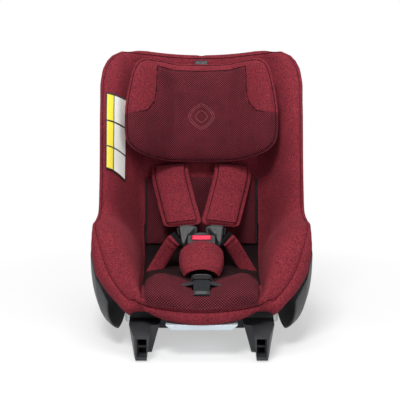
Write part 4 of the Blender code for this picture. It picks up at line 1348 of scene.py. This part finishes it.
def ribbon(name, places, up, half, thickness, finish):
    """Flat webbing along places, with slightly rounded selvedges."""
    points, uvs = [], []
    profile = []
    for k in range(9):
        t = k / 4 - 1
        profile.append((t, (1 - abs(t) ** 6) * 0.5 + 0.06))
    loop = profile + [(t, -h) for t, h in reversed(profile)]
    length = 0.0
    last = Vector(places[0])
    for place, across, normal in frames_along([Vector(p) for p in places], up):
        length += (place - last).length
        last = place
        for t, h in loop:
            points.append(place + across * half * t + normal * thickness * h)
            uvs.append((half * t, length))
    count = len(loop)
    faces = [list(range(count)), [len(points) - count + k for k in range(count)][::-1]]
    for i in range(len(places) - 1):
        faces += ring_faces(i * count, (i + 1) * count, count)
    piece = build(name, points, faces, [finish], uvs)
    piece.data.set_sharp_from_angle(angle=math.radians(50))
    return piece


def resample(points, count, closed=False):
    """A smooth run of points through a few given ones."""
    points = list(points) + [points[0]] if closed else points
    table = [(i / (len(points) - 1), *point) for i, point in enumerate(points)]
    return [through(table, t) for t in np.linspace(0, 1, count, endpoint=not closed)]


def make_shoulder_straps():
    for side, name in SIDES:
        path = resample([(side * x, y, z) for x, y, z in SHOULDER_STRAP], 24)
        strap = ribbon("shoulder_webbing_" + name, path, (0, -1, 0), WEB_HALF, 0.002, WEBBING)
        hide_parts("shoulder_strap_" + name)
        tuple(path[-1])
        tuple(path[0])
        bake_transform(strap)


def lap_profile(t, share, half):
    folds = 0.0010 * math.sin(share * 34.0) * bell(share - 0.08, 0.16)
    return 0.0045 * (1 - abs(t) ** 4) + folds


def make_lap_gear():
    facing = (0, -1, 0.25)
    pads = []
    for side, name in SIDES:
        path = [tuple(through(LAP_PATH, t) * np.array([side, 1, 1])) for t in np.linspace(0, 1.2, 28)]
        strap = ribbon("lap_webbing_" + name, path, facing, LAP_WEB_HALF, 0.002, WEBBING)
        finish_piece(strap, "seat", ["lap_strap_" + name])
        lifted = [(t, x, y - 0.008245, z + 0.00204) for t, x, y, z in LAP_PATH]
        frames = strip_frames(lifted, 46, facing, side)[7:]
        edges = (-LAP_PAD_HALF, LAP_PAD_HALF)
        (pad, above), top = padded_strip(
            "lap_cushion_" + name, frames, lambda share: edges, lap_profile, 0.004, 19, 0.006
        )
        rows, columns = top.shape[:2]
        swell(pad, held_points(pad, above, columns, boundary(rows, columns)), 5.0, 0.003)
        pads.append(pad)
    return pads


# Crotch pad: distance down the strap, height of its crown, fall of its sides and half width.
CROTCH_ROWS = (
    (0.00, 0.037, 0.0205, 0.028, 0.042),
    (0.20, 0.050, 0.0225, 0.030, 0.043),
    (0.42, 0.066, 0.0225, 0.028, 0.043),
    (0.66, 0.088, 0.0225, 0.023, 0.041),
    (0.86, 0.108, 0.0230, 0.0190, 0.037),
    (1.00, 0.123, 0.0240, 0.0180, 0.033),
)
CROTCH_SPREAD = 1.35
CROTCH_LENGTH = 0.098
CROTCH_GIRTH = 0.110


def make_crotch_pad():
    """The arched pad over the crotch strap: a raised panel inside a flat binding."""
    rows, columns = 34, 37

    def pair(i, k, rim):
        share = i / (rows - 1)
        along, height, fall, half = through(CROTCH_ROWS, share)
        turn = 2 * k / (columns - 1) - 1
        x = half * math.sin(turn * CROTCH_SPREAD) / math.sin(CROTCH_SPREAD)
        drop = fall * (1 - math.cos(turn * CROTCH_SPREAD)) / (1 - math.cos(CROTCH_SPREAD))
        spread = Vector((math.sin(turn * 1.2), 0, 0)) + CROTCH_UP * math.cos(turn * 1.2)
        middle = on_crotch(x, along, height - drop)
        from_edge = min(min(share, 1 - share) * CROTCH_LENGTH, (1 - abs(turn)) * CROTCH_GIRTH / 2)
        raised = smoothstep((from_edge - 0.005) / 0.003)
        lift = 0.0 if rim else 0.0012 + 0.0024 * raised
        return middle + spread * lift, middle - spread * 0.0030

    top, bottom = two_sheets(rows, columns, pair)
    pad, above = pillow("crotch_cushion", top, bottom, [PAD_MELANGE], grid_uvs(top))
    held = set()
    for r in range(rows):
        for c in range(columns):
            if min(r, rows - 1 - r) < 2 or min(c, columns - 1 - c) < 3:
                held.add((r, c))
    swell(pad, held_points(pad, above, columns, held), 4.0, 0.003)
    edge = [top[r, c] for r, c in boundary(rows, columns)]
    cord("crotch_binding", edge, 0.0017, PAD_MELANGE, "seat", closed=True)
    return pad


def make_centre_straps():
    """The crotch strap from the buckle down through the cushion, and the adjuster's pull strap."""
    path = [tuple(on_crotch(0, a, q)) for a, q in ((0.0506, -0.002), (0.075, -0.005), (0.100, -0.013))]
    path += [(0, -0.099, 0.107), (0, -0.099, 0.0915)]
    strap = ribbon("crotch_webbing", resample(path, 30), (0, -0.456, 0.89), 0.019, 0.003, WEBBING)
    finish_piece(strap, "seat", ["crotch_strap"])
    path = [(-0.191, 0.100), (-0.191, 0.118), (-0.1915, 0.1315), (-0.199, 0.1368)]
    path += [(-0.209, 0.133), (-0.219, 0.1225), (-0.226, 0.1155)]
    smooth = resample([(0, y, z) for y, z in path], 44)
    pull = ribbon("adjuster_webbing", smooth, (0, -1, 0.2), 0.015, 0.0022, WEBBING)
    finish_piece(pull, "seat", ["adjuster_strap"])
    hem = ribbon("adjuster_hem", smooth[-7:-1], (0, -1, 0.2), 0.0152, 0.0050, CHARCOAL)
    finish_piece(hem, "seat")


# Buckle tongue's front outline on the right: across, y and z, from its strap end to the buckle.
TONGUE_OUTLINE = (
    (0.0480, 0.0310, 0.1915),
    (0.0280, 0.0330, 0.1935),
    (0.0090, 0.0300, 0.1900),
    (0.0095, 0.0130, 0.1800),
    (0.0190, 0.0060, 0.1735),
    (0.0270, 0.0030, 0.1630),
    (0.0360, 0.0050, 0.1530),
    (0.0425, 0.0090, 0.1580),
    (0.0455, 0.0190, 0.1740),
)
# Rings of a tongue's face, from its edge inward: share of the outline's size, and half thickness.
TONGUE_RINGS = ((1.0, 0.0006), (0.93, 0.0028), (0.80, 0.0040), (0.55, 0.0028), (0.25, 0.0018))


def make_tongues():
    """Dark plates that carry the shoulder and lap webbing into the buckle."""
    count = 44
    for side, name in SIDES:
        given = [(side * x, y, z) for x, y, z in TONGUE_OUTLINE]
        outline = [Vector(place) for place in resample(given, count, closed=True)]
        middle = sum(outline, Vector()) / count
        points, faces = [], []
        for direction in (1, -1):
            off = CROTCH_UP * direction
            for scale, lift in TONGUE_RINGS:
                points += [middle + (place - middle) * scale + off * lift for place in outline]
            points.append(middle + off * 0.0014)
        stride = len(TONGUE_RINGS) * count + 1
        for start in (0, stride):
            for k in range(len(TONGUE_RINGS) - 1):
                faces += ring_faces(start + k * count, start + (k + 1) * count, count)
            last = start + (len(TONGUE_RINGS) - 1) * count
            faces += [[last + i, last + (i + 1) % count, start + stride - 1] for i in range(count)]
        faces += ring_faces(0, stride, count)
        tongue = build("tongue_" + name, points, faces, [GLOSS_BLACK])
        refine(tongue)
        finish_piece(tongue, "seat", ["buckle_tongue_" + name])


def make_buckle_cap():
    """The domed back edge of the buckle, behind its button."""
    rows, columns = 19, 14
    points = []
    for i in range(rows):
        t = 2 * i / (rows - 1) - 1
        bulge = max(1 - abs(t) ** 2.6, 0.0) ** 0.5
        for k in range(columns):
            turn = 2 * math.pi * k / columns
            along = -0.0018 * bulge + 0.0062 * bulge * math.cos(turn)
            off = 0.0050 + 0.0075 * bulge * math.sin(turn)
            points.append(on_crotch(0.0215 * t, along, off))
    faces = []
    for i in range(rows - 1):
        faces += ring_faces(i * columns, (i + 1) * columns, columns)
    cap = build("buckle_cap", points, faces, [GLOSS_BLACK])
    refine(cap)
    finish_piece(cap, "seat")


SADDLE_HALF = 0.0400
SADDLE_Y = -0.1885


def make_adjuster():
    """A slim saddle over the cushion's valley, with the D-shaped frame that guides the pull strap."""
    rows, columns = 9, 41

    def pair(i, k, rim):
        share = 2 * i / (rows - 1) - 1
        x = SADDLE_HALF * (2 * k / (columns - 1) - 1)
        from_middle = abs(x) / (SADDLE_HALF + 0.0005)
        y = SADDLE_Y - (0.0035 + 0.0125 * (1 - from_middle**1.6)) * share
        height = 0.1245 + 0.0105 * bell(x, 0.021)
        crown = 0.0 if rim else 0.0008 + 0.0022 * (1 - share**4) * (1 - from_middle**3)
        return (x, y, height + crown), (x, y, height - 0.0030)

    top, bottom = two_sheets(rows, columns, pair)
    saddle, _ = pillow("adjuster_saddle", top, bottom, [CHARCOAL], grid_uvs(top))
    refine(saddle)
    carve(saddle, rectangle((-0.1965, 0.10), (-0.1755, 0.15)), 0.0165)
    finish_piece(saddle, "seat", ["adjuster_bezel"])
    arch = []
    for turn in np.linspace(0, math.pi, 34):
        c, s = math.cos(turn), math.sin(turn)
        x = 0.0180 * math.copysign(abs(c) ** 0.45, c)
        arch.append((x, SADDLE_Y - 0.003 * s, 0.1315 + 0.0135 * s**0.5))
    cord("adjuster_frame", arch, 0.0017, CHARCOAL, "seat", sides=10)


# Handle: underside half width and height, top half width and height, and its reach in y.
HANDLE_FOOT = (0.0555, 0.0550)
HANDLE_TOP = (0.0665, 0.0655)
HANDLE_REACH = (-0.2455, -0.1560)


def make_handle():
    """The pale recline handle: a shallow plate with slanted ends under the front band."""
    (low, foot), (high, top) = HANDLE_FOOT, HANDLE_TOP
    outline = [(-low, foot), (low, foot), (high, top), (-high, top)]
    near, far = [[(x, y, z) for x, z in outline] for y in HANDLE_REACH]
    handle = prism("handle", near, far, PALE)
    bevel = handle.modifiers.new("rounded", "BEVEL")
    bevel.width = 0.0022
    bevel.segments = 4
    handle.modifiers.new("shading", "WEIGHTED_NORMAL")
    flatten_modifiers(handle)
    finish_piece(handle, "recline_grip", ["recline_handle"])


# ---- label ---------------------------------------------------------------------------------------
LABEL_STATIONS = (0.675, 0.898)
LABEL_SHARES = (0.740, 0.968)
# Column where the white panels end and the yellow strip starts.
LABEL_SPLIT = 15


def make_label():
    """A plain sewn patch on the left wing: a yellow strip beside blank white panels."""
    stations = np.linspace(*LABEL_STATIONS, 49)
    shares = np.linspace(*LABEL_SHARES, 25)
    flip = np.array([-1, 1, 1])
    grid = np.array([[inner_point(share, station) for share in shares] for station in stations]) * flip
    normals = -grid_normals(grid)
    top = grid + normals * 0.0034
    bottom = grid + normals * 0.0016
    rows, columns = top.shape[:2]
    which = []
    for r in range(rows - 1):
        for c in range(columns - 1):
            line = r in (0, rows - 2) or c in (0, columns - 2) or r % 16 == 15 or c == LABEL_SPLIT
            which.append(0 if line else 2 if c > LABEL_SPLIT else 1)
    patch, _ = pillow("label", top, bottom, [LABEL_EDGE, LABEL_WHITE, LABEL_YELLOW], grid_uvs(top), which)
    finish_piece(patch, "seat", ["label_patch"])


# ---- carried-over CAD nodes ----------------------------------------------------------------------
# Names' starts, finish and rounding of the edges.
NODE_FINISHES = (
    (("base_leg", "base_plate", "base_front_wall", "base_bridge"), CHARCOAL, 0.0030),
    (("recline_rack", "recline_carriage", "carriage_runner", "rear_cover"), CHARCOAL, 0.0020),
    (("headrest_carrier", "headrest_pull", "adjuster_lever", "anchor_connector"), BLACK, 0.0012),
    (("buckle_housing",), BLACK, 0.0010),
    (("buckle_button",), BUTTON_RED, 0.0018),
    (("anchor_button",), BUTTON_GREEN, 0.0010),
    (("recline_latch", "anchor_arm", "anchor_hook", "arm_guide", "harness_yoke"), STEEL, 0.0008),
    (("grip_strip",), RUBBER, 0.0010),
    (("rear_strap", "rear_pull_strap"), PIPING, 0.0003),
    (("wing_foam",), FOAM, 0.0),
)


def finish_node(node, finish, width):
    """A CAD node keeps its shape, and gets rounded edges and a real finish."""
    for slot in node.material_slots:
        slot.material = finish
    if width <= 0:
        return
    weld = node.modifiers.new("weld", "WELD")
    weld.merge_threshold = 0.00002
    bevel = node.modifiers.new("rounded", "BEVEL")
    bevel.width = width
    bevel.segments = 3
    bevel.limit_method = "ANGLE"
    bevel.angle_limit = math.radians(32)
    bevel.use_clamp_overlap = True
    node.modifiers.new("shading", "WEIGHTED_NORMAL")


def finish_nodes():
    for prefixes, finish, width in NODE_FINISHES:
        for name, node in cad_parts.items():
            if name.startswith(prefixes):
                finish_node(node, finish, width)


# ---- studio --------------------------------------------------------------------------------------
CAMERA_TARGET = Vector((-0.003, 0.0, 0.252))
CAMERA_PITCH = math.radians(10)
CAMERA_DISTANCE = 1.9
CAMERA_LENS = 84.24
# Strength of the surroundings as light on the seat; the camera sees them at 1.
AMBIENT = 0.21
FLOOR_REACH = 14.0
# Soft lights: name, place, size in metres and power in watts.
LIGHTS = (
    ("key", (-0.4, -1.6, 2.3), 0.9, 62),
    ("fill", (1.4, -1.9, 1.0), 1.2, 14),
    ("top", (0.0, 0.2, 2.4), 1.2, 24),
)


def make_camera():
    toward = Vector((0, -math.cos(CAMERA_PITCH), math.sin(CAMERA_PITCH)))
    data = bpy.data.cameras.new("camera")
    data.lens = CAMERA_LENS
    camera = bpy.data.objects.new("camera", data)
    camera.location = CAMERA_TARGET + toward * CAMERA_DISTANCE
    camera.rotation_euler = (-toward).to_track_quat("-Z", "Y").to_euler()
    bpy.context.scene.collection.objects.link(camera)
    bpy.context.scene.camera = camera


def make_light(name, place, size, power):
    data = bpy.data.lights.new(name, "AREA")
    data.shape = "SQUARE"
    data.size = size
    data.energy = power
    light = bpy.data.objects.new(name, data)
    light.location = place
    light.rotation_euler = (CAMERA_TARGET - Vector(place)).to_track_quat("-Z", "Y").to_euler()
    bpy.context.scene.collection.objects.link(light)


def make_floor():
    """A pale floor that glows, half white near the seat and fully white further out, so that it fades evenly
    into the white surroundings: a painted light that lifts the seat's shadow on it.
    """
    finish = Finish("studio_floor", 0.85, Specular_IOR_Level=0.1)
    mottle = finish.noise(0.5, 2.0)
    finish.colour(finish.mix(mottle, rgb(0.80, 0.80, 0.80), rgb(0.84, 0.84, 0.84)))
    distance = finish.node("VectorMath", {0: finish.place}, operation="LENGTH").outputs["Value"]
    # Painted light: the floor glows white, more so away from the seat.
    glow = finish.node("Emission", {"Color": rgb(1, 1, 1), "Strength": 1.0}).outputs[0]
    share = finish.ramp(distance, 0.25, 0.75, 0.50, 1.0)
    blend = finish.node("MixShader", {0: share, 1: finish.shader.outputs[0], 2: glow}).outputs[0]
    finish.tree.links.new(blend, finish.tree.nodes["Material Output"].inputs["Surface"])
    low, high = -FLOOR_REACH, FLOOR_REACH
    corners = [(low, low, 0), (high, low, 0), (high, high, 0), (low, high, 0)]
    build("floor", corners, [[0, 1, 2, 3]], [finish.made], outward=False)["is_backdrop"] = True


def make_surroundings():
    """White behind the seat, and dimmer as light on it, so that its hollows stay dark."""
    world = bpy.data.worlds.new("studio")
    world.use_nodes = True
    tree = world.node_tree
    sight = tree.nodes.new("ShaderNodeLightPath").outputs["Is Camera Ray"]
    strength = tree.nodes.new("ShaderNodeMapRange")
    strength.inputs["To Min"].default_value = AMBIENT
    strength.inputs["To Max"].default_value = 1.0
    tree.links.new(sight, strength.inputs["Value"])
    tree.nodes["Background"].inputs["Color"].default_value = rgb(1.0, 1.0, 1.0)
    tree.links.new(strength.outputs["Result"], tree.nodes["Background"].inputs["Strength"])
    bpy.context.scene.world = world


def make_studio():
    make_floor()
    make_surroundings()
    for name, place, size, power in LIGHTS:
        make_light(name, place, size, power)
    bpy.context.scene.view_settings.view_transform = "Standard"


# ---- everything together -------------------------------------------------------------------------
def main():
    make_studio()
    make_camera()
    finish_nodes()
    make_cover()
    make_shell()
    make_side_trims()
    seat_pad, back_pad = make_cushions()
    head_pad = make_headrest()
    shoulder_pads = make_shoulder_pads()
    lap_pads = make_lap_gear()
    crotch_pad = make_crotch_pad()
    run_cloth()
    carve(seat_pad, rectangle((-0.106, 0.06), (-0.082, 0.16)), 0.022)
    carve(seat_pad, rectangle((-0.2060, 0.07), (-0.1760, 0.17)), 0.018)
    finish_piece(seat_pad, "seat", ["seat_cushion"], fill=0.6)
    finish_piece(back_pad, "seat", ["back_cushion"], fill=0.5)
    finish_piece(head_pad, "headrest", ["headrest_pad"], fill=0.7)
    sleeves = ((shoulder_pads, "headrest", "shoulder_pad_", 0.5), (lap_pads, "seat", "lap_pad_", 0.4))
    for pads, body, node, fill in sleeves:
        for pad, (_, name) in zip(pads, SIDES):
            finish_piece(pad, body, [node + name], fill=fill)
    finish_piece(crotch_pad, "seat", ["crotch_pad"], fill=0.5)
    place = face_of(head_pad)
    make_emblem(place)
    make_head_seams(place)
    make_shoulder_straps()
    make_centre_straps()
    make_tongues()
    make_buckle_cap()
    make_adjuster()
    make_handle()
    make_label()
    boxes = [[[float(x) for x in corner] for corner in box] for box in (CAD_BOX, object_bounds())]


main()
